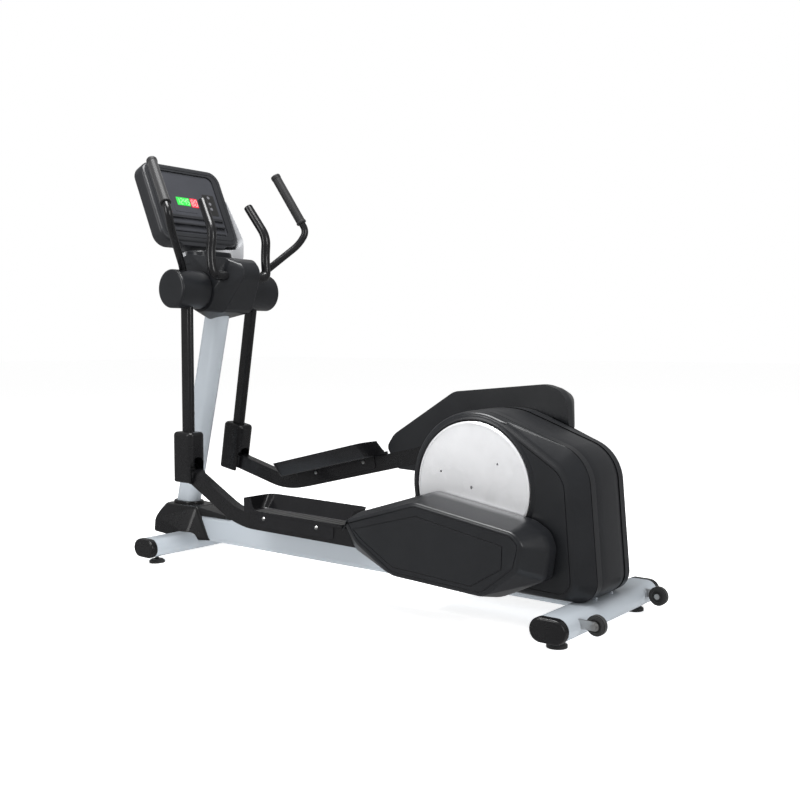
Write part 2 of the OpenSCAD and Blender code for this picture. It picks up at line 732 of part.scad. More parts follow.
// Tray of the pedal in the arm's own slope: floor on the arm, walls flared inwards of the machine
tray_low = 14;
flare = 35;
module tray_block(inset, floor) {
    y1 = arm_y + arm_w / 2 + 3 - inset;
    y0 = y1 - tray_w + 2 * inset;
    hull() {
        translate([inset, y0, floor]) cube([tray_len - 2 * inset, y1 - y0, 1]);
        for (x = [32, tray_len - 32]) translate([x, y0 - flare + 32, tray_wall + inset])
            cylinder(r = 34 - inset, h = 1, $fn = hull_fn);
        translate([inset - 2, y1 - 40, tray_wall + inset]) cube([tray_len + 4 - 2 * inset, 40, 1]);
    }
}
module in_tray() {
    translate([arm_path[1][0], 0, arm_path[1][2]]) rotate([0, -tray_slope, 0])
        translate([tray_start, 0, arm_h / 2 - 1.5]) children();
}
module pedal(s) {
    outer = arm_y + arm_w / 2;
    color(black) in_arm(s) difference() {
        in_tray() {
            difference() {
                tray_block(0, 0);
                tray_block(3.5, 4);
                translate([-50, 0, 0]) rotate([90, 0, 90]) linear_extrude(tray_len + 100)
                    polygon([[outer + 9, tray_low], [outer - 8, tray_low], [outer - 44, tray_wall + 9],
                             [outer + 9, tray_wall + 9]]);
            }
            for (y = [outer - 1, outer - arm_w - 3]) translate([40, y, -46]) cube([tray_len - 80, 4, 48]);
        }
        arm_solid(arm_h, arm_w);
    }
}
module pedal_left() { pedal(-1); }
module pedal_right() { pedal(1); }

// ---- head of the mast -------------------------------------------------------------------------

shroud_y = 113;
// Route of a fixed handlebar, on the right: sideways out of the shroud, up, then forward to its tip
bar_path = [[-655, 40, 1172], [-655, 149, 1168], [-667, 152, 1250], [-655, 148, 1345], [-741, 125, 1475]];

module pivot_axle() {
    color(steel) rod_y(pivot_x, pivot_z, axle_bar_r, -cover_y1 + 2, cover_y1 - 2);
}
// Drums across Y whose common hull is the shroud: [x, z, radius, half width]
shroud_drums = [[-640, 1180, 54, 44], [-676, 1200, 46, 74], [-700, 1068, 46, 70],
    [pivot_x, pivot_z, 88, shroud_y], [-852, 1205, 62, 104], [-797, 1030, 30, 44]];
module shroud_block(inset) {
    hull() for (d = shroud_drums)
        translate([d[0], -d[3] + inset, d[1]]) rotate([-90, 0, 0])
            cylinder(r = d[2] - inset, h = 2 * (d[3] - inset), $fn = hull_fn);
}
well_r = 34;
well_x = -846;
well_y = 48;
well_z = 1240;
tray_top = 1282;
module cup_tray() {
    translate([well_x, 0, well_z - 4]) linear_extrude(tray_top - well_z + 4) rrect(104, 196, 30);
}
module pivot_shroud() {
    color(charcoal) difference() {
        union() {
            difference() {
                shroud_block(0);
                shroud_block(4);
            }
            cup_tray();
        }
        for (y = [-1, 1]) translate([well_x, y * well_y, well_z]) cylinder(r = well_r, h = 100);
        mast_solid(0, -400, mast_top + 1);
        rod_y(pivot_x, pivot_z, axle_bar_r, -200, 200);
        both_sides() swept(rounded(bar_path, 38), bar_r);
    }
}
module handlebar(s) {
    color(black) side(s) swept(rounded(bar_path, 38), bar_r);
}
module handlebar_left() { handlebar(-1); }
module handlebar_right() { handlebar(1); }

// Silver neck between the mast's head and the console, with a plate behind the console
// and an ear beside its lower right corner
neck_y = 90;
neck_top = 160;
ear_t = 5;
ear_outline = [[-905, 1256], [-872, 1256], [-863, 1276], [-862, 1323], [-866, 1354], [-890, 1395],
    [-919, 1440], [-953, 1489], [-974, 1530], [-1000, 1500], [-985, 1440], [-971, 1310]];
module neck_block(inset) {
    hull() {
        translate([-950 + inset, -neck_y + inset, 1210]) cube([54 - 2 * inset, 2 * (neck_y - inset), 1]);
        in_console() translate([-74 + inset, -neck_top + inset, 6])
            cube([56 - 2 * inset, 2 * (neck_top - inset), 1]);
    }
}
module console_neck() {
    color("lightgray") difference() {
        union() {
            neck_block(0);
            across(console_half, console_half + ear_t) polygon(ear_outline);
            in_console() translate([-console_back - ear_t, -neck_top, -10])
                cube([ear_t, neck_top + console_half + ear_t, 160]);
        }
        neck_block(4);
        shroud_block(0);
        cup_tray();
        console_block();
        console_chin();
    }
}

console_back = 76;
module console_block() {
    in_console() rotate([0, 90, 0]) mirror([1, 0, 0]) translate([console_h / 2, 0, -console_back])
        linear_extrude(console_back) rrect(console_h, 2 * console_half, 55);
}
// Where the control face sits in the housing, and the keys in the face
face_up = console_h / 2;
face_h = 296;
face_half = 160;
key_r = 7;
key_travel = 1.2;
keys = [["start", 234, 110], ["up", 203, 110], ["down", 178, 110]];

module face_solid(r, h, half, x0, x1, up = face_up) {
    in_console() rotate([0, 90, 0]) mirror([1, 0, 0]) translate([up, 0, x0])
        linear_extrude(x1 - x0) rrect(h, 2 * half, r);
}
// Chin that hangs under the middle of the console
module console_chin() {
    in_console() translate([-60, 0, 0]) rotate([90, 0, 90]) linear_extrude(56)
        polygon([[-110, -16], [110, -16], [150, 12], [-150, 12]]);
}
module console_housing() {
    color(charcoal) difference() {
        union() {
            console_block();
            console_chin();
        }
        face_solid(30, face_h, face_half, -12, 1, face_up + 4);
        face_solid(40, console_h - 30, console_half - 15, -console_back + 6, -20);
    }
}
module console_panel() {
    color("#2b2d30") difference() {
        face_solid(30, face_h, face_half, -12, -5, face_up + 4);
        for (k = keys) in_console() translate([-30, k[2], k[1]]) rotate([0, 90, 0])
            cylinder(r = key_r + 0.3, h = 40);
    }
}
// Round push key that stands just out of the panel
module key(k) {
    color("gray") in_console() translate([-10.5, k[2], k[1]]) rotate([0, 90, 0]) cylinder(r = key_r, h = 7.5);
}
module key_start() { key(keys[0]); }
module key_up() { key(keys[1]); }
module key_down() { key(keys[2]); }

main_beam();
front_stabilizer();
rear_stabilizer();
stabilizer_caps();
mast();
base_cover();
foot_front_left();
foot_front_right();
foot_rear_left();
foot_rear_right();
wheel_brackets();
wheel_axles();
transport_wheel_left();
transport_wheel_right();
housing_left();
housing_right();
housing_spine();
drive_tower();
crank_bearings();
crank_shaft();
crank_disc_left();
crank_disc_right();
crank_pulley();
flywheel();
flywheel_axle();
drive_belt();
belt_tensioner();
brake_magnets();
control_board();
power_inlet();
pivot_axle();
pivot_shroud();
swing_arm_left();
pivot_cover_left();
handle_left();
grip_left();
joint_cover_left();
swing_arm_right();
pivot_cover_right();
handle_right();
grip_right();
joint_cover_right();
pedal_arm_left();
arm_cover_left();
pedal_left();
crank_pin_left();
joint_pin_left();
pedal_arm_right();
arm_cover_right();
pedal_right();
crank_pin_right();
joint_pin_right();
handlebar_left();
handlebar_right();
console_neck();
console_housing();
console_panel();
key_start();
key_up();
key_down();
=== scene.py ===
# %% [markdown]
# An elliptical trainer: a silver base and mast, a dark drive housing with a silver crank disc
# on each side, two long pedal arms, two swinging arms with handles, and a console on a neck.
# The frame gives every joint and every hard part in its place. This lesson adds the moulded
# covers, the tubes, the trim and all the finishes around it.

# %% Load the frame
import json
from math import atan2, cos, hypot, radians, sin

import bmesh
import bpy
from mathutils import Matrix, Vector


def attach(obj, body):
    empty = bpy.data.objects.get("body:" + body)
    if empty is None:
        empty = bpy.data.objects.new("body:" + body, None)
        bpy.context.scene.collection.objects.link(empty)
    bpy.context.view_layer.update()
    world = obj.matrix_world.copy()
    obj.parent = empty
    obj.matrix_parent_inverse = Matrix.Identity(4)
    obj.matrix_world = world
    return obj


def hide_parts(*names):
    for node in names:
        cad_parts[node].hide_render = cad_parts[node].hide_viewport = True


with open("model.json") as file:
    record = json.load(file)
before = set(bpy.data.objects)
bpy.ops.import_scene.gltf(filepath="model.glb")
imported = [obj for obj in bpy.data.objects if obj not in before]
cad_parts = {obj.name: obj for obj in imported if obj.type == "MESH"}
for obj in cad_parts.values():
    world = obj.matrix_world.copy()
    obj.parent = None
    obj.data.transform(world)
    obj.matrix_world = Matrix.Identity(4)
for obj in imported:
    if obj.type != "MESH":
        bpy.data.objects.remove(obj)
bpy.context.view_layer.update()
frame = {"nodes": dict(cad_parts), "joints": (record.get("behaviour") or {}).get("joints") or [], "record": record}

# %% [markdown]
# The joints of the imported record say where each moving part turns, so nothing here is fitted by
# eye. Shapes are drawn in millimetres, in the part's own directions: a leg hangs straight down,
# a pedal arm runs along X, the console's face looks along X. A matrix then takes them to where
# the part is at rest. Both sides are drawn on the right (+Y), and the left is a mirror image.

# %% Places of the moving parts
MM = 0.001
SIDES = {"left": -1, "right": 1}
joints = {j["name"]: j for j in frame["joints"]}


def centre(joint):
    return Vector(joints[joint]["pos_m"]) / MM


PIVOT = centre("right_swing")
CRANK = centre("crank_turn")
ARM_Y = PIVOT.y
LEG = 735
CRANK_R = 195
CRANK_DEG = {"left": -70, "right": 110}


def turned(origin, degrees_y):
    return Matrix.Translation(origin) @ Matrix.Rotation(radians(degrees_y), 4, "Y")


def swing_frame(side):
    low = centre(f"{side}_pedal_hinge")
    lean = atan2(PIVOT.x - low.x, PIVOT.z - low.z)
    return Matrix.Translation((PIVOT.x, 0, PIVOT.z)) @ Matrix.Rotation(lean, 4, "Y")


def arm_frame(side):
    low = centre(f"{side}_pedal_hinge")
    a = radians(CRANK_DEG[side])
    pin = Vector((CRANK.x + CRANK_R * cos(a), 0, CRANK.z + CRANK_R * sin(a)))
    pitch = atan2(pin.z - low.z, pin.x - low.x)
    return Matrix.Translation((low.x, 0, low.z)) @ Matrix.Rotation(-pitch, 4, "Y")


TRAY_SLOPE = 4.733
TRAY_PLACE = Matrix.Translation((327, 0, -135)) @ Matrix.Rotation(radians(-TRAY_SLOPE), 4, "Y") \
    @ Matrix.Translation((30, 0, 28.5))
CONSOLE = turned((-876, 0, 1320), -24.3)
HERE = Matrix.Identity(4)
print("pivot", tuple(PIVOT), "crank", tuple(CRANK))

# %% [markdown]
# The camera stands behind and to the left of the machine, lower than the console. Its distance
# and its long lens keep the perspective mild, so that tubes which are parallel look nearly so.

# %% Camera
camera = bpy.data.objects.new("camera", bpy.data.cameras.new("camera"))
camera.data.lens = 45.27
camera.data.sensor_width = 36
camera.matrix_world = Matrix.Translation((2.429, -2.863, 0.905)) \
    @ Matrix.Rotation(radians(38.17), 4, "Z") @ Matrix.Rotation(radians(86.68), 4, "X")
bpy.context.scene.collection.objects.link(camera)
bpy.context.scene.camera = camera
print("camera at", tuple(round(v, 2) for v in camera.matrix_world.translation))


# %% [markdown]
# A product studio lights a dark machine with large soft boxes, because on black plastic only
# the reflection of something bright shows a shape. One box hangs overhead and two stand like
# windows. Rays that the camera sees directly meet pure white, while all others meet a dimmer
# room, so the background stays clean and the black stays black. A Light Path node tells the
# two kinds of ray apart.

# %% Lights and room
def soft_light(name, place, aim, size, power):
    lamp = bpy.data.objects.new(name, bpy.data.lights.new(name, "AREA"))
    lamp.data.shape = "RECTANGLE"
    lamp.data.size, lamp.data.size_y = size
    lamp.data.energy = power
    lamp.location = place
    lamp.rotation_euler = (Vector(aim) - Vector(place)).to_track_quat("-Z", "Y").to_euler()
    bpy.context.scene.collection.objects.link(lamp)


soft_light("overhead", (-0.2, -0.6, 4.2), (0, 0, 0.4), (2.6, 1.7), 240)
soft_light("left window", (-1.6, -4.2, 2.4), (0.1, 0, 0.6), (1.4, 2.6), 75)
soft_light("rear window", (4.4, -0.6, 2.2), (0.4, 0, 0.6), (1.2, 2.4), 70)

world = bpy.data.worlds.new("studio")
bpy.context.scene.world = world
world.use_nodes = True
sky = world.node_tree
room = sky.nodes.new("ShaderNodeBackground")
room.inputs["Color"].default_value = (1, 1, 1, 1)
room.inputs["Strength"].default_value = 0.30
sky.nodes["Background"].inputs["Color"].default_value = (1, 1, 1, 1)
sky.nodes["Background"].inputs["Strength"].default_value = 1.0
seen = sky.nodes.new("ShaderNodeLightPath")
either = sky.nodes.new("ShaderNodeMixShader")
sky.links.new(seen.outputs["Is Camera Ray"], either.inputs["Fac"])
sky.links.new(room.outputs["Background"], either.inputs[1])
sky.links.new(sky.nodes["Background"].outputs["Background"], either.inputs[2])
sky.links.new(either.outputs["Shader"], sky.nodes["World Output"].inputs["Surface"])
bpy.context.scene.view_settings.view_transform = "Standard"


# %% [markdown]
# A finish is a small network of shader nodes. `Value` wraps one output socket, so that a
# pattern is written as a sum or a product, and Python adds the Math nodes. `Finish` holds one
# material: it makes nodes, feeds them to the shader's sockets, and sets constants directly on
# the shader. Every pattern reads Object coordinates, so it stays still when a part moves.

# %% Finishes: sockets that can be added and multiplied
class Value:
    def __init__(self, finish, socket):
        self.finish, self.socket = finish, socket

    def math(self, operation, a, b):
        return self.finish.node("ShaderNodeMath", {"operation": operation}, {0: a, 1: b})

    def __add__(self, other):
        return self.math("ADD", self, other)

    def __mul__(self, other):
        return self.math("MULTIPLY", self, other)

    __radd__, __rmul__ = __add__, __mul__


class Finish:
    def __init__(self, name, **constants):
        self.material = bpy.data.materials.new(name)
        self.material.use_nodes = True
        self.tree = self.material.node_tree
        self.shader = self.tree.nodes["Principled BSDF"]
        self.place = self.node("ShaderNodeTexCoord", {}, {}, "Object")
        for socket, value in constants.items():
            self.shader.inputs[socket.replace("_", " ")].default_value = value

    def node(self, kind, settings, inputs, output=0):
        made = self.tree.nodes.new(kind)
        for key, value in settings.items():
            setattr(made, key, value)
        for key, value in inputs.items():
            if isinstance(value, Value):
                self.tree.links.new(value.socket, made.inputs[key])
            else:
                made.inputs[key].default_value = value
        return Value(self, made.outputs[output])

    def noise(self, scale, detail=2.0, stretch=(1, 1, 1), rough=0.5):
        spread = self.node("ShaderNodeMapping", {}, {"Vector": self.place, "Scale": stretch})
        return self.node("ShaderNodeTexNoise", {}, {"Vector": spread, "Scale": scale,
                                                    "Detail": detail, "Roughness": rough}, "Fac")

    def mix(self, factor, dark, light):
        made = self.node("ShaderNodeMix", {"data_type": "RGBA"}, {"Factor": factor}, 2)
        made.socket.node.inputs[6].default_value = (*dark, 1)
        made.socket.node.inputs[7].default_value = (*light, 1)
        return made

    def feed(self, socket, value):
        self.tree.links.new(value.socket, self.shader.inputs[socket])

    def bump(self, height, strength, distance):
        self.feed("Normal", self.node("ShaderNodeBump", {}, {
            "Height": height, "Strength": strength, "Distance": distance}))


# %% [markdown]
# Most of the machine is one of three things. Moulded plastic has a fine spark-eroded grain and
# a satin sheen that changes a little where hands have rubbed it. Powder coat and wet paint are
# smoother, with a slight orange peel. Foam and rubber scatter light and hardly shine. One
# function makes each family, and the numbers make each member of it.

# %% The three families of finish
finishes = {}


def plastic(slot, dark, light, rough, grain=0.22, coat=0.0):
    f = Finish(slot, Coat_Weight=coat, Coat_Roughness=0.12, Specular_IOR_Level=0.36)
    wear = f.noise(7, 3)
    f.feed("Base Color", f.mix(wear, dark, light))
    f.feed("Roughness", wear * 0.12 + f.noise(60, 2) * 0.06 + (rough - 0.09))
    f.bump(f.noise(1500, 1) + f.noise(420, 2) * 0.5, grain, 0.00035)
    finishes[slot] = f


def paint(slot, dark, light, rough, metallic=0.0, coat=0.4, peel=0.06):
    f = Finish(slot, Metallic=metallic, Coat_Weight=coat, Coat_Roughness=0.08,
               Specular_IOR_Level=0.4)
    flake = f.noise(2600, 0)
    cloud = f.noise(5, 3)
    f.feed("Base Color", f.mix(cloud * 0.7 + flake * 0.3, dark, light))
    f.feed("Roughness", cloud * 0.08 + flake * 0.08 + (rough - 0.08))
    f.bump(f.noise(260, 1), peel, 0.0004)
    finishes[slot] = f


def rubber(slot, dark, light, rough=0.68, grain=0.5):
    f = Finish(slot, Sheen_Weight=0.12, Sheen_Roughness=0.5, Specular_IOR_Level=0.3)
    pores = f.noise(900, 2)
    f.feed("Base Color", f.mix(f.noise(30, 3), dark, light))
    f.feed("Roughness", pores * 0.15 + (rough - 0.07))
    f.bump(pores, grain, 0.0005)
    finishes[slot] = f


def metal(slot, dark, light, rough, stretch=(1, 1, 1)):
    f = Finish(slot, Metallic=1.0)
    lines = f.noise(500, 3, stretch)
    f.feed("Base Color", f.mix(lines, dark, light))
    f.feed("Roughness", lines * 0.14 + (rough - 0.07))
    f.bump(lines, 0.12, 0.0002)
    finishes[slot] = f


paint("silver_paint", (0.40, 0.44, 0.48), (0.48, 0.52, 0.56), 0.40, metallic=0.2, coat=0.25)
paint("black_paint", (0.004, 0.004, 0.0045), (0.007, 0.007, 0.008), 0.27, coat=0.1, peel=0.02)
paint("neck_silver", (0.50, 0.51, 0.53), (0.60, 0.61, 0.63), 0.40, metallic=0.15, coat=0.2)
plastic("cap_plastic", (0.005, 0.005, 0.0056), (0.0085, 0.0085, 0.0093), 0.27, grain=0.12)
plastic("housing_plastic", (0.0085, 0.009, 0.0105), (0.0135, 0.0145, 0.0165), 0.31, grain=0.14)
plastic("spine_plastic", (0.008, 0.0085, 0.010), (0.0125, 0.0135, 0.0155), 0.33)
plastic("pedal_plastic", (0.005, 0.005, 0.006), (0.009, 0.009, 0.010), 0.22, grain=0.05, coat=0.1)
plastic("console_plastic", (0.014, 0.0148, 0.0168), (0.020, 0.0208, 0.0232), 0.36)
plastic("panel_plastic", (0.030, 0.031, 0.036), (0.042, 0.044, 0.051), 0.32, grain=0.06)
plastic("key_plastic", (0.10, 0.10, 0.11), (0.14, 0.14, 0.15), 0.45)
plastic("inlet_plastic", (0.012, 0.012, 0.012), (0.018, 0.018, 0.018), 0.4)
rubber("grip_rubber", (0.007, 0.007, 0.008), (0.012, 0.012, 0.013), 0.50)
rubber("foot_rubber", (0.010, 0.010, 0.010), (0.016, 0.016, 0.016))
rubber("wheel_rubber", (0.014, 0.014, 0.014), (0.022, 0.022, 0.022), 0.55)
rubber("belt_rubber", (0.010, 0.010, 0.010), (0.018, 0.018, 0.018))
metal("steel", (0.48, 0.48, 0.48), (0.62, 0.62, 0.61), 0.30, (1, 6, 1))
metal("cast_iron", (0.16, 0.16, 0.17), (0.24, 0.24, 0.25), 0.45)
metal("pulley_aluminium", (0.50, 0.51, 0.52), (0.62, 0.63, 0.64), 0.35, (1, 8, 1))
print(len(finishes), "finishes in families")

# %% [markdown]
# The crank disc is sprayed satin silver over a flat plate. Very faint rings from its turning
# show under the paint: distance from the crank's axis, fed through a fine wave.

# %% The disc's turned satin silver, the circuit board and the two lamps
disc = Finish("disc_silver", Metallic=0.35, Coat_Weight=0.15, Coat_Roughness=0.2)
about_axis = disc.node("ShaderNodeMapping", {}, {
    "Vector": disc.place, "Location": (-CRANK.x * MM, 0, -CRANK.z * MM), "Scale": (1, 0, 1)})
radius = disc.node("ShaderNodeVectorMath", {"operation": "LENGTH"}, {0: about_axis}, "Value")
rings = disc.node("ShaderNodeMath", {"operation": "SINE"}, {0: radius * 2600})
disc_cloud = disc.noise(6, 4)
disc.feed("Base Color", disc.mix(disc_cloud, (0.66, 0.665, 0.68), (0.82, 0.825, 0.84)))
disc.feed("Roughness", rings * 0.03 + disc_cloud * 0.10 + 0.20)
disc.bump(rings, 0.04, 0.0001)
finishes["disc_silver"] = disc

board = Finish("board", Roughness=0.45)
tracks = board.node("ShaderNodeTexVoronoi", {"feature": "DISTANCE_TO_EDGE"}, {
    "Vector": board.place, "Scale": 160.0})
board.feed("Base Color", board.mix(tracks * 6, (0.05, 0.13, 0.05), (0.01, 0.06, 0.02)))
finishes["board"] = board


def lamp(name, colour, glow):
    f = Finish(name, Roughness=0.3, Emission_Strength=glow)
    cells = f.noise(500, 0)
    f.feed("Base Color", f.mix(cells, [c * 0.3 for c in colour], colour))
    f.feed("Emission Color", f.mix(cells, [c * 0.85 for c in colour], colour))
    return f


green_glow = lamp("green_lamp", (0.03, 0.50, 0.06), 0.8)
green_digit = lamp("green_digit", (0.30, 0.95, 0.30), 0.9)
red_glow = lamp("red_lamp", (0.62, 0.03, 0.05), 0.8)
red_digit = lamp("red_digit", (0.95, 0.35, 0.36), 0.9)

# %% [markdown]
# Every hard part that keeps its own shape takes the finish of its slot. A part whose moulded
# shape is softer than its plain solid is replaced further down.

# %% Finishes on the parts of the frame
slot_of = {row["node"]: row["material_slot"] for row in frame["record"]["subparts"]}
for name, part in frame["nodes"].items():
    for place in part.material_slots:
        place.material = finishes[slot_of[name]].material
print("slots in use:", sorted(set(slot_of.values())))


# %% [markdown]
# A shape starts as rings, corners, blocks or rods in a bmesh. Each helper places one of
# Blender's own primitives, so that nothing has to be turned or moved afterwards. Rings and rods
# stand across Y, because the machine's wheels, drums and covers all do.

# %% Starting shapes
def ring(bm, x, z, r, y, steps=48):
    place = Matrix.Translation((x, y, z)) @ Matrix.Rotation(radians(90), 4, "X")
    return bmesh.ops.create_circle(bm, segments=steps, radius=r, matrix=place)["verts"]


def corners(bm, points, y):
    return [bm.verts.new((x, y, z)) for x, z in points]


def flat_ring(bm, x, y, z, r, steps):
    return bmesh.ops.create_circle(bm, segments=steps, radius=r,
                                   matrix=Matrix.Translation((x, y, z)))["verts"]


def block(bm, low, high):
    low, high = Vector(low), Vector(high)
    place = Matrix.Translation((low + high) / 2) @ Matrix.Diagonal((*(high - low), 1))
    return bmesh.ops.create_cube(bm, size=1, matrix=place)["verts"]


def rod(bm, x, z, r, y0, y1, steps=48):
    place = Matrix.Translation((x, (y0 + y1) / 2, z)) @ Matrix.Rotation(radians(-90), 4, "X")
    return bmesh.ops.create_cone(bm, cap_ends=True, segments=steps, radius1=r, depth=y1 - y0,
                                 radius2=r, matrix=place)["verts"]


def outward(bm):
    """Turns every face outwards."""
    bmesh.ops.recalc_face_normals(bm, faces=bm.faces[:])


def verts_of(geom):
    return [v for v in geom if isinstance(v, bmesh.types.BMVert)]


def edges_of(verts):
    """The edges at some vertices, each once and in a fixed order."""
    return list(dict.fromkeys(e for v in verts for e in v.link_edges))


def open_up(bm, faces):
    """Takes faces away and leaves their edges."""
    bmesh.ops.delete(bm, geom=faces, context="FACES_ONLY")


def lowest_and_highest(bm):
    """The box of a bmesh, to print what was made."""
    return [[round(pick(v.co[k] for v in bm.verts)) for k in range(3)] for pick in (min, max)]


sample = bmesh.new()
rod(sample, 0, 0, 20, 4, 60)
print("a rod of radius 20 from y 4 to 60 fills", lowest_and_highest(sample))
sample.free()


# %% [markdown]
# Most covers are a skin over a few rings or corners. `wrap` stretches it over them, as shrink
# film does, and drops what is left inside. It is cleaner than joining arcs by hand, and it
# always closes. `soften` then rounds the edges that are left with a bevel, and `facing` finds
# a flat side by the way it looks.

# %% Skins and rounded edges

def merge_flat(bm, degrees=0.6):
    bmesh.ops.dissolve_limit(bm, angle_limit=radians(degrees), verts=bm.verts[:],
                             edges=bm.edges[:], use_dissolve_boundaries=False)


def wrap(bm):
    made = bmesh.ops.convex_hull(bm, input=bm.verts[:])
    inside = dict.fromkeys(verts_of(made["geom_interior"] + made["geom_unused"]))
    bmesh.ops.delete(bm, geom=list(inside), context="VERTS")
    bmesh.ops.delete(bm, geom=[e for e in bm.edges if not e.link_faces], context="EDGES")
    outward(bm)
    merge_flat(bm)


def join(bm, *others):
    """Adds other bmeshes to bm and frees them."""
    for other in others:
        mesh = bpy.data.meshes.new("part")
        other.to_mesh(mesh)
        other.free()
        bm.from_mesh(mesh)
        bpy.data.meshes.remove(mesh)


def sharp_edges(bm, over=25):
    return [e for e in bm.edges
            if len(e.link_faces) == 2 and e.calc_face_angle(0) > radians(over)]


def upright_edges(bm, over=10):
    """Edges whose two ends stand more than `over` apart in height."""
    return [e for e in bm.edges if abs(e.verts[0].co.z - e.verts[1].co.z) > over]


def level_edges(bm, y):
    """Edges that lie wholly in the plane at y."""
    return [e for e in bm.edges if all(abs(v.co.y - y) < 0.1 for v in e.verts)]


def soften(bm, width, steps=3, over=25, edges=None):
    bmesh.ops.bevel(bm, geom=sharp_edges(bm, over) if edges is None else edges, offset=width,
                    offset_type="OFFSET", affect="EDGES", segments=steps, profile=0.5,
                    material=-1, clamp_overlap=True, loop_slide=True)


def facing(bm, direction, reach):
    """The largest face that looks along direction and lies beyond reach."""
    direction = Vector(direction)
    found = [f for f in bm.faces if f.normal.dot(direction) > 0.99
             and f.calc_center_median().dot(direction) > reach]
    return max(found, key=lambda f: f.calc_area())


sample = bmesh.new()
block(sample, (0, 0, 0), (100, 60, 40))
soften(sample, 8, 3)
print("a block with rounded edges has", len(sample.faces), "faces")
sample.free()


# %% [markdown]
# Two mouldings meet in a parting line. A narrow bevel turns the line's edges into a strip, the
# strip is extruded and sunk, and the strip itself is deleted, which leaves a real groove that
# catches shade in every view. A line drawn by a bump alone would be lost in the mesh.

# %% Parting lines
def groove(bm, edges, width=2.4, depth=2.4):
    made = bmesh.ops.bevel(bm, geom=edges, offset=width / 2, offset_type="OFFSET",
                           affect="EDGES", segments=1, profile=0.5, material=-1)
    raised = bmesh.ops.extrude_face_region(bm, geom=made["faces"])["geom"]
    bm.normal_update()
    for v in verts_of(raised):
        v.co -= v.normal * depth
    bmesh.ops.delete(bm, geom=made["faces"], context="FACES")


def inset_line(bm, direction, reach, margin, width=2.4, depth=2.4):
    """A parting line inside a flat face's outline; returns the face inside the line."""
    face = facing(bm, direction, reach)
    bmesh.ops.inset_region(bm, faces=[face], thickness=margin, depth=0, use_even_offset=True)
    groove(bm, list(face.edges), width, depth)
    bm.normal_update()
    return facing(bm, direction, reach)


# %% [markdown]
# Two more ways of making metal and plastic parts have their own helper. `lathe` spins a profile
# full circle, as a turner would. `tube` bends a round tube along a route. A curve with a bevel
# does that best, and it is turned into a mesh at once so that it can be joined and mirrored.

# %% Turned and bent shapes
def lathe(bm, profile, x=0, z=0, steps=64):
    """Turns a profile of (radius, y) pairs about the axis along Y through x, z."""
    line = [bm.verts.new((x + r, y, z)) for r, y in profile]
    edges = [bm.edges.new(pair) for pair in zip(line, line[1:])]
    bmesh.ops.spin(bm, geom=line + edges, cent=(x, 0, z), axis=(0, 1, 0),
                   angle=radians(360), steps=steps, use_merge=True)
    bmesh.ops.remove_doubles(bm, verts=bm.verts[:], dist=0.01)
    outward(bm)


def rounded(points, reach, steps=8):
    """A route whose inner corners are rounded, reach back along each leg."""
    points = [Vector(p) for p in points]
    route = [points[0]]
    for before, corner, after in zip(points, points[1:], points[2:]):
        a = corner + reach * (before - corner).normalized()
        b = corner + reach * (after - corner).normalized()
        route += [a.lerp(corner, t).lerp(corner.lerp(b, t), t)
                  for t in (k / steps for k in range(steps + 1))]
    return route + [points[-1]]


def tube(bm, route, radius, detail=7):
    """A round tube along a route, made as a curve with a bevel and turned into a mesh."""
    curve = bpy.data.curves.new("route", "CURVE")
    curve.dimensions = "3D"
    line = curve.splines.new("POLY")
    line.points.add(len(route) - 1)
    for point, at in zip(line.points, route):
        point.co = (*at, 1)
    curve.bevel_depth, curve.bevel_resolution, curve.use_fill_caps = radius, detail, True
    holder = bpy.data.objects.new("route", curve)
    bm.from_mesh(bpy.data.meshes.new_from_object(holder))
    bpy.data.objects.remove(holder)
    bpy.data.curves.remove(curve)
    bmesh.ops.remove_doubles(bm, verts=bm.verts[:], dist=0.001)
    outward(bm)


def aim(start, end):
    """A place whose Y axis runs from start to end."""
    turn = Vector((0, 1, 0)).rotation_difference(Vector(end) - Vector(start))
    return Matrix.Translation(start) @ turn.to_matrix().to_4x4()


corner_route = rounded([(0, 0, 0), (0, 0, 9), (0, 9, 9)], 2)
print("a route of three points becomes", len(corner_route))


# %% [markdown]
# `piece` ends every shape: it moves the mesh into its place in metres, mirrors it for the left,
# shades it smooth except at true corners, gives it the finish of its slot, and hangs it on its body.

# %% Finishing a piece
def piece(bm, name, body, slot, stands_for=(), place=HERE, side=1, corner=38, finish=None,
          wall=None):
    whole = Matrix.Diagonal((1, side, 1, 1)) @ Matrix.Scale(MM, 4) @ place
    bmesh.ops.transform(bm, matrix=whole, verts=bm.verts[:])
    if side < 0:
        bmesh.ops.reverse_faces(bm, faces=bm.faces[:])
    mesh = bpy.data.meshes.new(name)
    bm.to_mesh(mesh)
    bm.free()
    mesh.shade_smooth()
    mesh.set_sharp_from_angle(angle=radians(corner))
    mesh.materials.append((finish or finishes[slot]).material)
    made = bpy.data.objects.new(name, mesh)
    bpy.context.scene.collection.objects.link(made)
    if wall:
        shell = made.modifiers.new("wall", "SOLIDIFY")
        shell.thickness, shell.offset = wall * MM, -1
    made.modifiers.new("even shading", "WEIGHTED_NORMAL").keep_sharp = True
    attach(made, body)
    if stands_for:
        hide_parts(*stands_for)
    return made


# %% [markdown]
# The housing has two moulded shells and a spine between them. Seen from the side its outline is
# a belt round four circles, so each shell is a skin over rings: the full outline as far as the
# shoulder, then a smaller one at the flat side. Wrapping rings is quicker and cleaner than
# joining the arcs by hand, because equal rings give flat strips. The round well for the crank
# disc is then cut from the flat side, with a low lip round it.

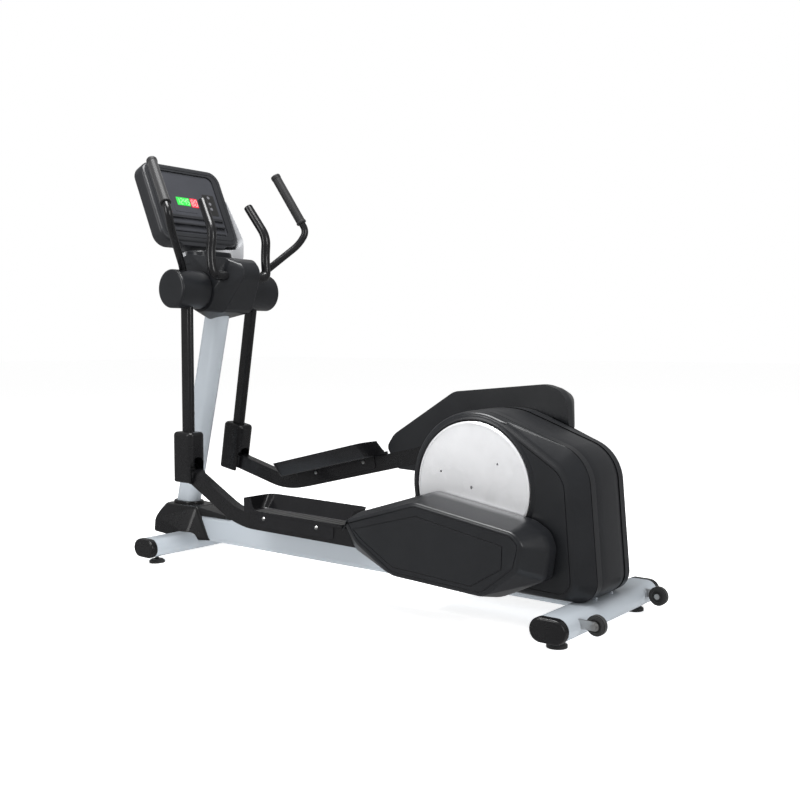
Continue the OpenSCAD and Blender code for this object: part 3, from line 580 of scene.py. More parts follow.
# %% Drive housing
# Each circle is x, z, radius and the number of steps round it.
OUTLINE = [(CRANK.x, CRANK.z, 250, 120), (432, 144, 45, 48), (962, 169, 70, 48),
           (866, 451, 140, 80)]
FLAT = [(CRANK.x, CRANK.z, 246, 120), (444, 160, 38, 48), (915, 170, 62, 48),
        (846, 438, 108, 80)]
SPINE_HALF, SHOULDER, SIDE_FACE, WELL_FLOOR = 78, 112, 150, 138
WELL_R = 221.6


def housing_shell(side_name, side):
    bm = bmesh.new()
    for x, z, r, steps in OUTLINE:
        ring(bm, x, z, r, SPINE_HALF + 1.5, steps)
        ring(bm, x, z, r, SHOULDER, steps)
    for x, z, r, steps in FLAT:
        ring(bm, x, z, r, SIDE_FACE, steps)
    wrap(bm)
    soften(bm, 13, 5, edges=level_edges(bm, SIDE_FACE))
    groove(bm, level_edges(bm, SHOULDER), 2.6, 3)
    flat = inset_line(bm, (0, 1, 0), SIDE_FACE - 1, 5)
    outer = list(flat.edges)
    open_up(bm, [flat])
    well = ring(bm, CRANK.x, CRANK.z, WELL_R + 1.5, SIDE_FACE, 120)
    rim = edges_of(well)
    bmesh.ops.triangle_fill(bm, use_beauty=True, use_dissolve=False, edges=outer + rim)
    wall_of_well = bmesh.ops.extrude_edge_only(bm, edges=rim)["geom"]
    low = verts_of(wall_of_well)
    for v in low:
        v.co.y = WELL_FLOOR
    bmesh.ops.contextual_create(bm, geom=low)
    inner = facing(bm, (0, -1, 0), -SPINE_HALF - 3)
    open_up(bm, [inner])
    outward(bm)
    piece(bm, f"housing_shell_{side_name}", "frame", "housing_plastic",
          [f"housing_{side_name}"], side=side, corner=30)


print("shells round the crank at", tuple(round(v) for v in CRANK))


# %% [markdown]
# A raised lip runs round the disc's well and hides the gap between the disc and the moulding.
# It is round, so its profile is spun. It starts below the side face, which leaves no open seam.

# %% Lip round the disc
def housing_lip(side_name, side):
    bm = bmesh.new()
    lathe(bm, [(WELL_R - 0.5, 146), (WELL_R - 0.5, 152.5), (WELL_R + 1.5, 154.5),
               (WELL_R + 6, 154.5), (WELL_R + 13, 151.5), (WELL_R + 15.5, 149)],
          CRANK.x, CRANK.z, 128)
    piece(bm, f"disc_surround_{side_name}", "frame", "housing_plastic", side=side)


for side_name, side in SIDES.items():
    housing_shell(side_name, side)
    housing_lip(side_name, side)
print("lips of radius", WELL_R)

# %% [markdown]
# Between the shells a third moulding closes the housing's top, back and bottom. Its two flat
# sides are open, because the shells cover them, and a Solidify modifier gives it its wall.

# %% Spine between the shells
SPINE_STEP, SPINE_SWELL = -2.5, 1.5
spine = bmesh.new()
for x, z, r, steps in OUTLINE:
    ring(spine, x, z, r + SPINE_STEP, SPINE_HALF + 1, steps)
    ring(spine, x, z, r + SPINE_STEP, -SPINE_HALF - 1, steps)
    ring(spine, x, z, r + SPINE_SWELL, 40, steps)
    ring(spine, x, z, r + SPINE_SWELL, -40, steps)
wrap(spine)
for direction in (1, -1):
    open_up(spine, [facing(spine, (0, direction, 0), SPINE_HALF)])
piece(spine, "housing_band", "frame", "spine_plastic", ["housing_spine"], wall=4)

# %% [markdown]
# A deep cover hides each pedal arm's rear end and the crank pin. It is a skin between a large
# outline beside the arm and a smaller one on its outer face. The corners of both outlines are
# rounded first, as vertices, so that the skin between them rolls from one to the other. A
# seven-sided panel is let into the face: its outline and the face's rim are filled together,
# and its edges become a groove.

# %% Arm covers
COVER_INNER = [(890, -29), (926, -118), (1165, -162), (1535, -142), (1690, -50), (1696, 51),
               (1672, 95), (1616, 121), (1237, 143), (932, 15)]
COVER_OUTER = [(946, 0), (1007, -64), (1168, -140), (1527, -122), (1639, -16), (1652, 68),
               (1616, 99), (1234, 119)]
COVER_PANEL = [(1034, -48), (1172, -110), (1484, -98), (1588, -20), (1584, 52), (1250, 77),
               (992, -20)]
COVER_BACK, COVER_WAIST, COVER_FACE, COVER_CORNER = 163, 205, 300, 16


def rounded_outline(bm, points, y):
    """A flat outline at y whose corners are rounded by bevelling its vertices."""
    made = corners(bm, points, y)
    bm.faces.new(made)
    bmesh.ops.bevel(bm, geom=made, offset=COVER_CORNER, offset_type="OFFSET", affect="VERTICES",
                    segments=5, profile=0.5, material=-1, clamp_overlap=True)


def arm_cover(side_name, side):
    bm = bmesh.new()
    rounded_outline(bm, COVER_INNER, COVER_BACK)
    rounded_outline(bm, COVER_INNER, COVER_WAIST)
    rounded_outline(bm, COVER_OUTER, COVER_FACE)
    open_up(bm, bm.faces[:])
    wrap(bm)
    soften(bm, 11, 4, edges=level_edges(bm, COVER_FACE))
    soften(bm, 14, 3, edges=level_edges(bm, COVER_WAIST))
    face = inset_line(bm, (0, 1, 0), COVER_FACE - 1, 4, 2.2, 2)
    outer = list(face.edges)
    open_up(bm, [face])
    line = corners(bm, COVER_PANEL, COVER_FACE)
    rim = [bm.edges.new(pair) for pair in zip(line, line[1:] + line[:1])]
    bmesh.ops.triangle_fill(bm, use_beauty=True, edges=outer + rim)
    panel = bm.faces.new(line)
    outward(bm)
    groove(bm, list(panel.edges), 2.8, 2.6)
    piece(bm, f"arm_shell_{side_name}", f"{side_name}_pedal_arm", "housing_plastic",
          [f"arm_cover_{side_name}"], arm_frame(side_name), side, corner=30)


for side_name, side in SIDES.items():
    arm_cover(side_name, side)
print("arm covers reach y", COVER_FACE)

# %% [markdown]
# At the pivot, each leg turns inside a short drum with a flat lid. A drum is round about one
# axis, so its profile is turned like wood on a lathe. A thin dark line marks the lid's edge.

# %% Pivot drums
for side_name, side in SIDES.items():
    bm = bmesh.new()
    lathe(bm, [(70, 117), (76.5, 117), (77.4, 119), (77.4, 254), (76.4, 255.2), (76.4, 256.6),
               (77.3, 257.8), (77.3, 259), (75.6, 262.6), (72.5, 264.8), (66, 266), (0, 266)],
          0, 0, 96)
    piece(bm, f"pivot_drum_{side_name}", f"{side_name}_swing_arm", "housing_plastic",
          [f"pivot_cover_{side_name}"], swing_frame(side_name), side)
print("pivot drums made")

# %% [markdown]
# The shroud between the drums is blow-moulded and soft all over. It is a skin over six short
# drums of different sizes. Two levels of subdivision with some rounding would lose its nose, so
# the edges are bevelled instead.

# %% Head shroud
DRUMS = [(-640, 1180, 54, 44), (-676, 1200, 46, 74), (-700, 1068, 46, 70),
         (PIVOT.x, PIVOT.z, 88, 113), (-852, 1205, 62, 104), (-797, 1030, 30, 44)]
bm = bmesh.new()
for x, z, r, half in DRUMS:
    for y in (-half, half):
        ring(bm, x, z, r, y, 40)
wrap(bm)
merge_flat(bm, 3)
soften(bm, 13, 5, over=32)
print("shroud fills", lowest_and_highest(bm))
piece(bm, "head_shroud", "frame", "housing_plastic", ["pivot_shroud"], corner=60)

# %% [markdown]
# A small tray with two cup wells sits on the shroud, under the console. It is a block that
# spreads towards its foot. Its top is opened, filled again round two circles, and each circle
# is extruded down in three steps: a round lip, the wall, and the edge of the floor.

# %% Cup tray
WELL_X, WELL_Y, CUP_R, TRAY_TOP, TRAY_FOOT = -846, 48, 34, 1282, 1228
SPREAD_X, SPREAD_Y = 1.1, 1.12
CUP_STEPS = ((2, 2), (36, 0), (4, 4))       # how far each step drops, and how far it closes in
bm = bmesh.new()
block(bm, (WELL_X - 52, -98, TRAY_FOOT), (WELL_X + 52, 98, TRAY_TOP))
soften(bm, 42, 10, edges=upright_edges(bm))
for v in bm.verts:
    if v.co.z < TRAY_TOP - 1:
        v.co.x = WELL_X + (v.co.x - WELL_X) * SPREAD_X
        v.co.y *= SPREAD_Y
top = facing(bm, (0, 0, 1), TRAY_TOP - 1)
soften(bm, 7, 4, edges=list(top.edges))
top = facing(bm, (0, 0, 1), TRAY_TOP - 1)
outline = list(top.edges)
open_up(bm, [top])
rims = []
for y in (-WELL_Y, WELL_Y):
    made = flat_ring(bm, WELL_X, y, TRAY_TOP, CUP_R + 2, 48)
    rims.append(edges_of(made))
bmesh.ops.triangle_fill(bm, use_beauty=True, edges=outline + rims[0] + rims[1])
for rim in rims:
    for drop, shrink in CUP_STEPS:
        made = bmesh.ops.extrude_edge_only(bm, edges=rim)["geom"]
        low = verts_of(made)
        middle = sum((v.co for v in low), Vector()) / len(low)
        for v in low:
            v.co -= (v.co - middle).normalized() * shrink
            v.co.z -= drop
        rim = [e for e in made if isinstance(e, bmesh.types.BMEdge)
               and all(v in low for v in e.verts)]
    bmesh.ops.contextual_create(bm, geom=low)
outward(bm)
piece(bm, "cup_tray", "frame", "housing_plastic")
print("cup wells", CUP_STEPS[1][0], "mm deep")

# %% [markdown]
# The fixed handlebars and the moving handles are bent tube. Each follows a route of a few
# points with rounded corners, given a round section. A fixed bar ends in a plug, which is a
# little thinner than the tube. Both are powder coated, and the moving ones carry foam grips.

# %% Handlebars and handles
BAR_R, PLUG_R, HANDLE_R, PLUG_LEN = 19, 17.5, 15, 4
BAR_ROUTE = [(-655, 40, 1172), (-655, 149, 1168), (-667, 152, 1250), (-655, 148, 1345),
             (-741, 125, 1475)]
HANDLE_ROUTE = [(8, 203, 30), (14, 212, 84), (92, 334, 228), (108, 358, 288), (-57, 302, 500)]
for side_name, side in SIDES.items():
    bm = bmesh.new()
    route = rounded(BAR_ROUTE, 38, 10)
    end, along = route[-1], (route[-1] - route[-2]).normalized()
    tube(bm, route[:-1] + [end - along * PLUG_LEN], BAR_R)
    tube(bm, [end - along * (PLUG_LEN + 1), end], PLUG_R)
    piece(bm, f"fixed_bar_{side_name}", "frame", "black_paint", [f"handlebar_{side_name}"],
          side=side)
    bm = bmesh.new()
    tube(bm, rounded(HANDLE_ROUTE, 30, 10), HANDLE_R)
    piece(bm, f"moving_bar_{side_name}", f"{side_name}_swing_arm", "black_paint",
          [f"handle_{side_name}"], swing_frame(side_name), side)
print("tubes of", 2 * BAR_R, "and", 2 * HANDLE_R, "mm")

# %% [markdown]
# A foam grip is ribbed along its length so that a wet hand doesn't slip. Every sixth line of the
# cylinder is pulled in a little. The ends have a collar below and a fatter cap above.

# %% Grips
GRIP_R, GRIP_STEPS, RIB_EVERY, RIB_PULL = 20, 60, 6, 0.975
ELBOW, TIP = Vector(HANDLE_ROUTE[3]), Vector(HANDLE_ROUTE[4])
GRIP_FROM = ELBOW.lerp(TIP, 0.16)
GRIP_LEN = (TIP - GRIP_FROM).length
for side_name, side in SIDES.items():
    bm = bmesh.new()
    for v in rod(bm, 0, 0, GRIP_R, 4, GRIP_LEN - 2, GRIP_STEPS):
        around = round(atan2(v.co.z, v.co.x) / radians(360 / GRIP_STEPS))
        if around % RIB_EVERY == 0:
            v.co.x *= RIB_PULL
            v.co.z *= RIB_PULL
    outward(bm)
    lathe(bm, [(15.2, -1), (20.5, -1), (22, 1), (22, 7), (20.5, 9), (15.2, 9)], steps=48)
    lathe(bm, [(15.2, GRIP_LEN - 5), (20.5, GRIP_LEN - 5), (21.5, GRIP_LEN - 3),
               (21.5, GRIP_LEN), (20.4, GRIP_LEN + 1), (21.5, GRIP_LEN + 2),
               (21.5, GRIP_LEN + 8), (19.5, GRIP_LEN + 11.5), (14, GRIP_LEN + 13),
               (0, GRIP_LEN + 13)], steps=48)
    piece(bm, f"foam_grip_{side_name}", f"{side_name}_swing_arm", "grip_rubber",
          [f"grip_{side_name}"], swing_frame(side_name) @ aim(GRIP_FROM, TIP), side, corner=25)
print("grip length", round(GRIP_LEN), "mm")

# %% [markdown]
# The boxy cover over each lower joint is a rounded block, hollow below, with an arched slot
# behind where the pedal arm comes out. Bevels round the block, then two Boolean cuts with plain
# solids make the hollow and the slot, because a slot through rounded faces has no simple rim.

# %% Boolean cuts
def carve(bm, tool):
    """Cuts the closed shape tool out of bm, both as bmeshes, with an exact Boolean."""
    held = []
    for shape in (bm, tool):
        mesh = bpy.data.meshes.new("carving")
        shape.to_mesh(mesh)
        shape.free()
        held.append(bpy.data.objects.new("carving", mesh))
        bpy.context.scene.collection.objects.link(held[-1])
    cut = held[0].modifiers.new("cut", "BOOLEAN")
    cut.operation, cut.solver, cut.object = "DIFFERENCE", "EXACT", held[1]
    result = bmesh.new()
    result.from_mesh(held[0].evaluated_get(bpy.context.evaluated_depsgraph_get()).to_mesh())
    for holder in held:
        bpy.data.objects.remove(holder)
    bmesh.ops.remove_doubles(result, verts=result.verts[:], dist=0.01)
    return result


def upright_block(low, high, radius):
    """A block with its four upright edges rounded."""
    bm = bmesh.new()
    block(bm, low, high)
    soften(bm, radius, 8, edges=upright_edges(bm))
    return bm


print("one block cut by another leaves",
      len(carve(upright_block((0, 0, 0), (60, 60, 60), 9),
                upright_block((20, 20, -5), (90, 40, 65), 9)).faces), "faces")

# %% [markdown]
# The cover is drawn round the joint's own axis, with its outside, its hollow and its slot each
# as one solid. The slot is a skin over two arches and their feet, open at the bottom.

# %% Joint covers
JOINT_LOW, JOINT_HIGH, SLOT_R, ARCH_Z = -48, 158, 34, 23
JOINT_X, JOINT_Y, JOINT_WALL = 57.5, 42.5, 4


def joint_cover(side_name, side):
    bm = upright_block((-JOINT_X, -JOINT_Y, JOINT_LOW), (JOINT_X, JOINT_Y, JOINT_HIGH), 26)
    soften(bm, 15, 6, edges=list(facing(bm, (0, 0, 1), JOINT_HIGH - 1).edges))
    soften(bm, 9, 4, edges=list(facing(bm, (0, 0, -1), -JOINT_LOW - 1).edges))
    inner_x, inner_y = JOINT_X - JOINT_WALL, JOINT_Y - JOINT_WALL
    bm = carve(bm, upright_block((-inner_x, -inner_y, JOINT_LOW - 5),
                                 (inner_x, inner_y, JOINT_HIGH - 16), 22))
    slot = bmesh.new()
    for x in (20, 90):
        for y in (-SLOT_R, SLOT_R):
            slot.verts.new((x, y, JOINT_LOW - 5))
        arch = Matrix.Translation((x, 0, ARCH_Z)) @ Matrix.Rotation(radians(90), 4, "Y")
        bmesh.ops.create_circle(slot, segments=40, radius=SLOT_R, matrix=arch)
    wrap(slot)
    bm = carve(bm, slot)
    piece(bm, f"joint_shell_{side_name}", f"{side_name}_swing_arm", "cap_plastic",
          [f"joint_cover_{side_name}"],
          swing_frame(side_name) @ Matrix.Translation((0, ARM_Y, -LEG)), side, corner=30)


for side_name, side in SIDES.items():
    joint_cover(side_name, side)
print("joint covers", JOINT_HIGH - JOINT_LOW, "mm high")

# %% [markdown]
# A pedal is a moulded tray on top of its arm. Its outer wall is low, so that a foot steps on
# from outside, and its other walls are high and lean out. The tray is a tapered skin with a
# smaller copy of itself cut out. The low outer wall and the sloping rear corner are then cut by
# two prisms. A cheek on each side of the arm takes two bolts.

# %% Blocks for the pedals
ARM_OUTER = ARM_Y + 20
TRAY_LEN, TRAY_W, TRAY_WALL, FLARE, TRAY_LIP = 508, 118, 58, 35, 14


def tray_block(inset, floor, radius):
    bm = bmesh.new()
    y1 = ARM_OUTER + 3 - inset
    y0 = y1 - TRAY_W + 2 * inset
    for x, way in ((inset + radius, -1), (TRAY_LEN - inset - radius, 1)):
        for y, r in ((y0 + radius, radius), (y1 - 8, 8)):
            flat_ring(bm, x + (radius - r) * way, y, floor, r, 24)
    reach = TRAY_WALL + inset
    for x in (34, TRAY_LEN - 34):
        flat_ring(bm, x, y0 - FLARE + 34 - inset, reach + 1, 36 - inset, 32)
    for x in (inset + 6, TRAY_LEN - inset - 6):
        flat_ring(bm, x, y1 - 8, reach + 1, 8, 16)
    wrap(bm)
    return bm


def prism(outline, way):
    """A flat outline drawn out along way."""
    bm = bmesh.new()
    face = bm.faces.new([bm.verts.new(p) for p in outline])
    made = bmesh.ops.extrude_face_region(bm, geom=[face])["geom"]
    bmesh.ops.translate(bm, vec=way, verts=verts_of(made))
    outward(bm)
    return bm


print("a tray is", TRAY_LEN, "by", TRAY_W, "mm at its floor")


# %% [markdown]
# The solids that make a tray meet only in the Boolean cuts, so their own edges are rounded
# first. A cheek is joined without a cut, because it only has to touch.

# %% Foot trays
def pedal(side_name, side):
    bm = tray_block(0, 0, 26)
    soften(bm, 5, 3, edges=[e for e in bm.edges if all(v.co.z < 0.1 for v in e.verts)])
    hollow = tray_block(3.5, 4.5, 24)
    soften(hollow, 5, 3, edges=[e for e in hollow.edges if all(v.co.z < 4.6 for v in e.verts)])
    bm = carve(bm, hollow)
    across = [(36, TRAY_WALL + 20), (44, TRAY_WALL - 6), (52, TRAY_LIP + 14), (64, TRAY_LIP + 3),
              (80, TRAY_LIP), (TRAY_LEN + 40, TRAY_LIP), (TRAY_LEN + 40, TRAY_WALL + 20)]
    bm = carve(bm, prism([(x, ARM_OUTER - 24, z) for x, z in across], (0, 60, 0)))
    behind = [(ARM_OUTER + 30, TRAY_LIP), (ARM_OUTER - 14, TRAY_LIP),
              (ARM_OUTER - 30, TRAY_LIP + 8), (ARM_OUTER - 58, TRAY_WALL - 4),
              (ARM_OUTER - 66, TRAY_WALL + 20), (ARM_OUTER + 30, TRAY_WALL + 20)]
    bm = carve(bm, prism([(TRAY_LEN - 40, y, z) for y, z in behind], (80, 0, 0)))
    for y0, y1 in ((ARM_OUTER + 0.2, ARM_OUTER + 3), (ARM_OUTER - 43, ARM_OUTER - 40.2)):
        cheek = bmesh.new()
        block(cheek, (40, y0, -45), (TRAY_LEN - 40, y1, 3))
        ends = [e for e in cheek.edges if abs(e.verts[0].co.y - e.verts[1].co.y) > 1
                and e.verts[0].co.z < 0]
        soften(cheek, 16, 5, edges=ends)
        join(bm, cheek)
    piece(bm, f"foot_tray_{side_name}", f"{side_name}_pedal_arm", "pedal_plastic",
          [f"pedal_{side_name}"], arm_frame(side_name) @ TRAY_PLACE, side, corner=30)


print("tray walls", TRAY_WALL, "mm high, outer lip", TRAY_LIP)


# %% [markdown]
# A rubber mat lies in each tray, with bars across it for grip. The bolts are domed caps, spun
# from a short profile, two on each cheek.

# %% Mats and bolts
BAR_PITCH, BAR_WIDE, BOLT_Z = 26, 9, -10


def mat(side_name, side):
    bm = bmesh.new()
    block(bm, (22, ARM_OUTER - 108, 4), (TRAY_LEN - 22, ARM_OUTER - 4, 6.5))
    soften(bm, 20, 6, edges=upright_edges(bm, 1))
    top = facing(bm, (0, 0, 1), 6)
    soften(bm, 1, 2, edges=list(top.edges))
    for x in range(60, TRAY_LEN - 50, BAR_PITCH):
        made = block(bm, (x, ARM_OUTER - 98, 6), (x + BAR_WIDE, ARM_OUTER - 14, 7.8))
        edges = [e for e in edges_of(made) if all(p.co.z > 7 for p in e.verts)]
        soften(bm, 1.2, 2, edges=edges)
    piece(bm, f"tread_mat_{side_name}", f"{side_name}_pedal_arm", "foot_rubber",
          place=arm_frame(side_name) @ TRAY_PLACE, side=side)


def bolts(side_name, side):
    bm = bmesh.new()
    for y, out, places in ((ARM_OUTER + 3, 1, (112, 384)), (ARM_OUTER - 43, -1, (146, 408))):
        for x in places:
            head = bmesh.new()
            lathe(head, [(0, out * 4.2), (3.2, out * 4.0), (6.3, out * 2.6), (7.6, 0), (0, 0)],
                  steps=32)
            bmesh.ops.translate(head, verts=head.verts[:], vec=(x, y, BOLT_Z))
            join(bm, head)
    outward(bm)
    piece(bm, f"pedal_bolts_{side_name}", f"{side_name}_pedal_arm", "steel",
          place=arm_frame(side_name) @ TRAY_PLACE, side=side)


for side_name, side in SIDES.items():
    pedal(side_name, side)
    mat(side_name, side)
    bolts(side_name, side)

# %% [markdown]
# The cover over the mast's foot is a low faceted shell with soft edges. A ridge runs back from
# it along the main beam. Both are closed skins over a few corners, with the mast and the beam
# passing through.

# %% Base cover
bm = bmesh.new()
for x, y, z in ((-1099, 94, 85), (-1084, 122, 85), (-893, 106, 84), (-893, 100, 66),
                (-800, 60, 66), (-1095, 96, 130), (-1080, 118, 150), (-1078, 50, 205),
                (-1052, 80, 205), (-872, 64, 205)):
    for s in (1, -1):
        bm.verts.new((x, y * s, z))
wrap(bm)
soften(bm, 12, 5, over=14)
ridge = bmesh.new()
for x, half, z in ((-900, 58, 203), (-868, 58, 203), (-670, 54, 178)):
    for s in (1, -1):
        ridge.verts.new((x, half * s, z))
        ridge.verts.new((x, half * s, 166))
wrap(ridge)
soften(ridge, 6, 3, over=14)
join(bm, ridge)
print("base cover fills", lowest_and_highest(bm))
piece(bm, "mast_foot_cover", "frame", "cap_plastic", ["base_cover"], corner=40)


# %% [markdown]
# A flat-oval collar on the cover hides the gap round the mast. It is six oval rings, bridged
# one to the next: in under the foot, up the outside, over the rounded edge and down inside.

# %% Collar round the mast
def oval(bm, length, width, z, steps=24):
    """Ring of a flat oval at height z, its straight sides along X."""
    points = []
    for end in (1, -1):
        for k in range(steps + 1):
            a = radians(-90 + 180 * k / steps) if end > 0 else radians(90 + 180 * k / steps)
            points.append((end * (length - width) / 2 + width / 2 * cos(a), width / 2 * sin(a), z))
    return [bm.verts.new(p) for p in points]


bm = bmesh.new()
layers = [oval(bm, 118, 71, 0), oval(bm, 146, 97, 0), oval(bm, 146, 97, 9),
          oval(bm, 141, 92, 13), oval(bm, 128, 80, 13.5), oval(bm, 119, 72, 12)]
for layer in layers:
    for a, b in zip(layer, layer[1:] + layer[:1]):
        bm.edges.new((a, b))
for low, high in zip(layers, layers[1:]):
    rims = [e for e in bm.edges if all(v in low for v in e.verts)] \
        + [e for e in bm.edges if all(v in high for v in e.verts)]
    bmesh.ops.bridge_loops(bm, edges=rims)
outward(bm)
piece(bm, "mast_collar", "frame", "cap_plastic", place=Matrix.Translation((-995, 0, 203)))
print("collar of", len(layers), "rings")

# %% [markdown]
# The stabilizer ends are closed by soft plastic caps, a flat oval with a rounded edge. Four
# rings make one, wrapped in a skin. All four caps are one piece, as they are one part.

# %% Stabilizer caps
STABILIZERS = ((-906, 290), (981, 305))     # place along X, and how far the tube reaches
CAP_Z = 62
bm = bmesh.new()
for x, half in STABILIZERS:
    for side in (1, -1):
        cap = bmesh.new()
        across = Matrix.Translation((x, side * half, CAP_Z)) @ Matrix.Rotation(
            radians(-90 * side), 4, "X")
        for length, width, out in ((122, 76, 0), (122, 76, 20), (119, 73, 25), (111, 65, 28)):
            oval(cap, length, width, out)
        wrap(cap)
        soften(cap, 1.5, 2, over=20)
        bmesh.ops.transform(cap, matrix=across, verts=cap.verts[:])
        join(bm, cap)
piece(bm, "end_caps", "frame", "cap_plastic", ["stabilizer_caps"])
print(2 * len(STABILIZERS), "caps")

# %% [markdown]
# The console is a thick moulded slab with round corners. A shallow recess holds the printed
# panel, a dark sheet of plastic with two lit windows and a keypad, above a ledge for a book.

# %% Console housing
def slab(bm, x0, x1, half, z0, z1, radius, steps=10, y=0):
    made = block(bm, (x0, y - half, z0), (x1, y + half, z1))
    along = [e for e in edges_of(made)
             if abs(e.verts[0].co.x - e.verts[1].co.x) > 0.5 * (x1 - x0)]
    soften(bm, radius, steps, edges=along)


CONSOLE_HALF, CONSOLE_HIGH, CONSOLE_DEEP, CONSOLE_CORNER = 211, 373, 76, 55
bm = bmesh.new()
slab(bm, -CONSOLE_DEEP, 0, CONSOLE_HALF, 0, CONSOLE_HIGH, CONSOLE_CORNER)
front = facing(bm, (1, 0, 0), -1)
soften(bm, 13, 4, edges=list(front.edges))
back = facing(bm, (-1, 0, 0), CONSOLE_DEEP - 6)
soften(bm, 22, 5, edges=list(back.edges))
inset_line(bm, (1, 0, 0), -1, 12, 2.4, 2)
hollow = bmesh.new()
slab(hollow, -12, 20, 160, 42.5, 338.5, 30)
bm = carve(bm, hollow)
chin = prism([(-58, -110, -16), (-58, 110, -16), (-58, 150, 12), (-58, -150, 12)], (54, 0, 0))
soften(chin, 5, 3)
join(bm, chin)
piece(bm, "console_body", "frame", "console_plastic", ["console_housing"], CONSOLE, corner=30)
print("console", 2 * CONSOLE_HALF, "by", CONSOLE_HIGH, "mm")

# %% [markdown]
# The panel is a sheet with a softened edge, sunk in the recess. The three keys are parts that
# press in, so the sheet has real holes for them, cut one after another.

# %% Panel
PANEL_X, KEY_Y, KEY_HEIGHTS = -5, 110, (234, 203, 178)


def key_holes(bm, radius):
    for z in KEY_HEIGHTS:
        hole = bmesh.new()
        place = Matrix.Translation((-8, KEY_Y, z)) @ Matrix.Rotation(radians(90), 4, "Y")
        bmesh.ops.create_cone(hole, cap_ends=True, segments=40, radius1=radius, radius2=radius,
                              depth=30, matrix=place)
        bm = carve(bm, hole)
    return bm


bm = bmesh.new()
slab(bm, -12, PANEL_X, 159.4, 43.1, 337.9, 29.4)
face = facing(bm, (1, 0, 0), PANEL_X - 1)
soften(bm, 1.5, 2, edges=list(face.edges))
bm = key_holes(bm, 7.3)
piece(bm, "display_panel", "frame", "panel_plastic", ["console_panel"], CONSOLE, corner=30)
print("panel with", len(KEY_HEIGHTS), "key holes")

# %% [markdown]
# Three ribs below the windows hold a book or a tablet. Each is a thin slab with a soft edge,
# and the middle one stands out the furthest, as the shelf.

# %% Reading ledge
bm = bmesh.new()
for front_x, half, low, high, radius in ((2, 151, 116, 129, 5), (6, 149, 82, 90, 3),
                                         (-1, 146, 52, 58, 2)):
    slab(bm, PANEL_X - 2, front_x, half, low, high, radius, 3)
soften(bm, 1.4, 2, over=40)
piece(bm, "reading_ledge", "frame", "console_plastic", place=CONSOLE)
print("ledge of three ribs")

# %% [markdown]
# The frame of the windows and the keypad's plate stand just proud of the sheet. The plate has
# the same holes as the sheet, a little wider.

# %% Window frame and keypad plate
bm = bmesh.new()
slab(bm, PANEL_X - 2, PANEL_X + 1.2, 60, 148, 230, 6, 4, y=-36)
soften(bm, 0.8, 2, over=40)
piece(bm, "window_frame", "frame", "panel_plastic", place=CONSOLE)

bm = bmesh.new()
slab(bm, PANEL_X - 2, PANEL_X + 0.8, 33, 146, 248, 6, 4, y=KEY_Y)
soften(bm, 0.6, 2, over=40)
bm = key_holes(bm, 7.4)
piece(bm, "keypad_plate", "frame", "inlet_plastic", place=CONSOLE, corner=30)
print("keypad plate at y", KEY_Y)

# %% [markdown]
# The windows are lit from behind. Each shows plain seven-bar numerals, which are only bars. A
# bar is named by the letter that electronics gives it, and a table says which are lit.

# %% Lit windows
BARS = {"a": (0, 1, 0), "b": (0.5, 0.5, 1), "c": (0.5, -0.5, 1), "d": (0, -1, 0),
        "e": (-0.5, -0.5, 1), "f": (-0.5, 0.5, 1), "g": (0, 0, 0)}
LIT = {"0": "abcdef", "1": "bc", "2": "abged", "4": "fgbc", "5": "afgcd", "8": "abcdefg"}


def window(name, y0, y1, z0, z1, digits, glow, bright):
    bm = bmesh.new()
    slab(bm, PANEL_X, PANEL_X + 2, (y1 - y0) / 2, z0, z1, 2, 3, y=(y0 + y1) / 2)
    piece(bm, f"{name}_window", "frame", "panel_plastic", place=CONSOLE, finish=glow)
    bm = bmesh.new()
    pitch = (y1 - y0) / len(digits)
    tall = (z1 - z0) * 0.34
    for k, digit in enumerate(digits):
        middle = y0 + pitch * (k + 0.5)
        for bar in LIT[digit]:
            dy, dz, upright = BARS[bar]
            y, z = middle + dy * pitch * 0.56, (z0 + z1) / 2 + dz * tall
            wide, high = (1.3, tall * 0.42) if upright else (pitch * 0.22, 1.3)
            block(bm, (PANEL_X + 1.5, y - wide, z - high), (PANEL_X + 2.4, y + wide, z + high))
    piece(bm, f"{name}_digits", "frame", "panel_plastic", place=CONSOLE, finish=bright)


window("green", -75, -5, 179, 217, "1245", green_glow, green_digit)
window("red", 0, 38, 175, 218, "80", red_glow, red_digit)
print("windows lit")

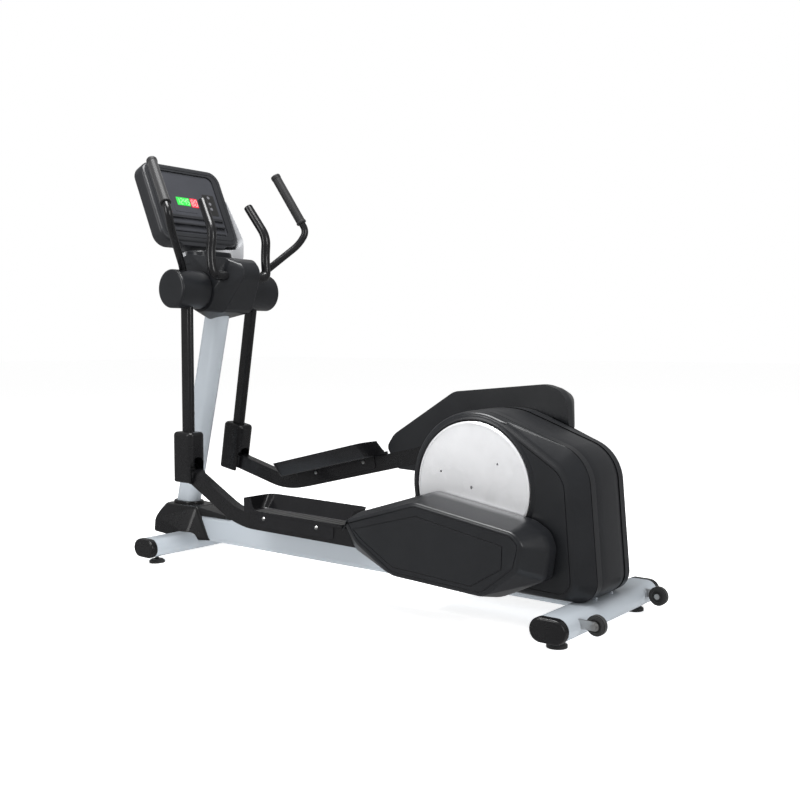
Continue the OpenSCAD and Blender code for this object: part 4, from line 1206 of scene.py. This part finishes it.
# %% [markdown]
# A light silver shell carries the console on the mast. It starts narrow at the mast, spreads
# behind the console and shows as a soft bulge beside it on the right. Its outline is drawn seen
# from the side, and the whole is one smooth skin, with the console's own shape cut out of it.

# %% Silver neck
bm = bmesh.new()
for x, z in ((-905, 1256), (-872, 1256), (-863, 1276), (-862, 1323), (-866, 1354), (-890, 1395),
             (-919, 1440), (-953, 1489), (-974, 1530), (-1000, 1500), (-971, 1310)):
    bm.verts.new((x, 217, z))
for x, y, z in ((-950, -62, 1212), (-905, -62, 1212), (-950, 100, 1212), (-905, 100, 1212),
                (-955, -72, 1262), (-905, -72, 1262), (-955, 190, 1240), (-890, 190, 1240),
                (-985, -84, 1330), (-985, 190, 1330), (-1010, -84, 1440), (-1010, 190, 1440)):
    bm.verts.new((x, y, z))
wrap(bm)
soften(bm, 8, 4, over=30)
hollow = bmesh.new()
slab(hollow, 0.5 - CONSOLE_DEEP, 60, CONSOLE_HALF + 0.4, -17, CONSOLE_HIGH + 7, CONSOLE_CORNER)
bmesh.ops.transform(hollow, matrix=CONSOLE, verts=hollow.verts[:])
bm = carve(bm, hollow)
print("neck fills", lowest_and_highest(bm))
piece(bm, "console_shell", "frame", "neck_silver", ["console_neck"], corner=40)

# %% [markdown]
# The floor is plain and pale, and belongs to the room, not to the machine. A little light of its
# own keeps it as white as the background, and it hides itself from glossy rays, so that the
# undersides of dark parts stay dark.

# %% Floor
bm = bmesh.new()
bmesh.ops.create_grid(bm, x_segments=1, y_segments=1, size=40)
floor_mesh = bpy.data.meshes.new("floor")
bm.to_mesh(floor_mesh)
bm.free()
floor = bpy.data.objects.new("floor", floor_mesh)
bpy.context.scene.collection.objects.link(floor)
floor.visible_glossy = False
pale = Finish("pale_floor", Roughness=0.8, Specular_IOR_Level=0.1, Emission_Strength=0.72,
              Emission_Color=(1, 1, 1, 1))
pale.feed("Base Color", pale.mix(pale.noise(2, 2), (0.88, 0.88, 0.88), (0.90, 0.90, 0.90)))
floor_mesh.materials.append(pale.material)
print("floor laid")
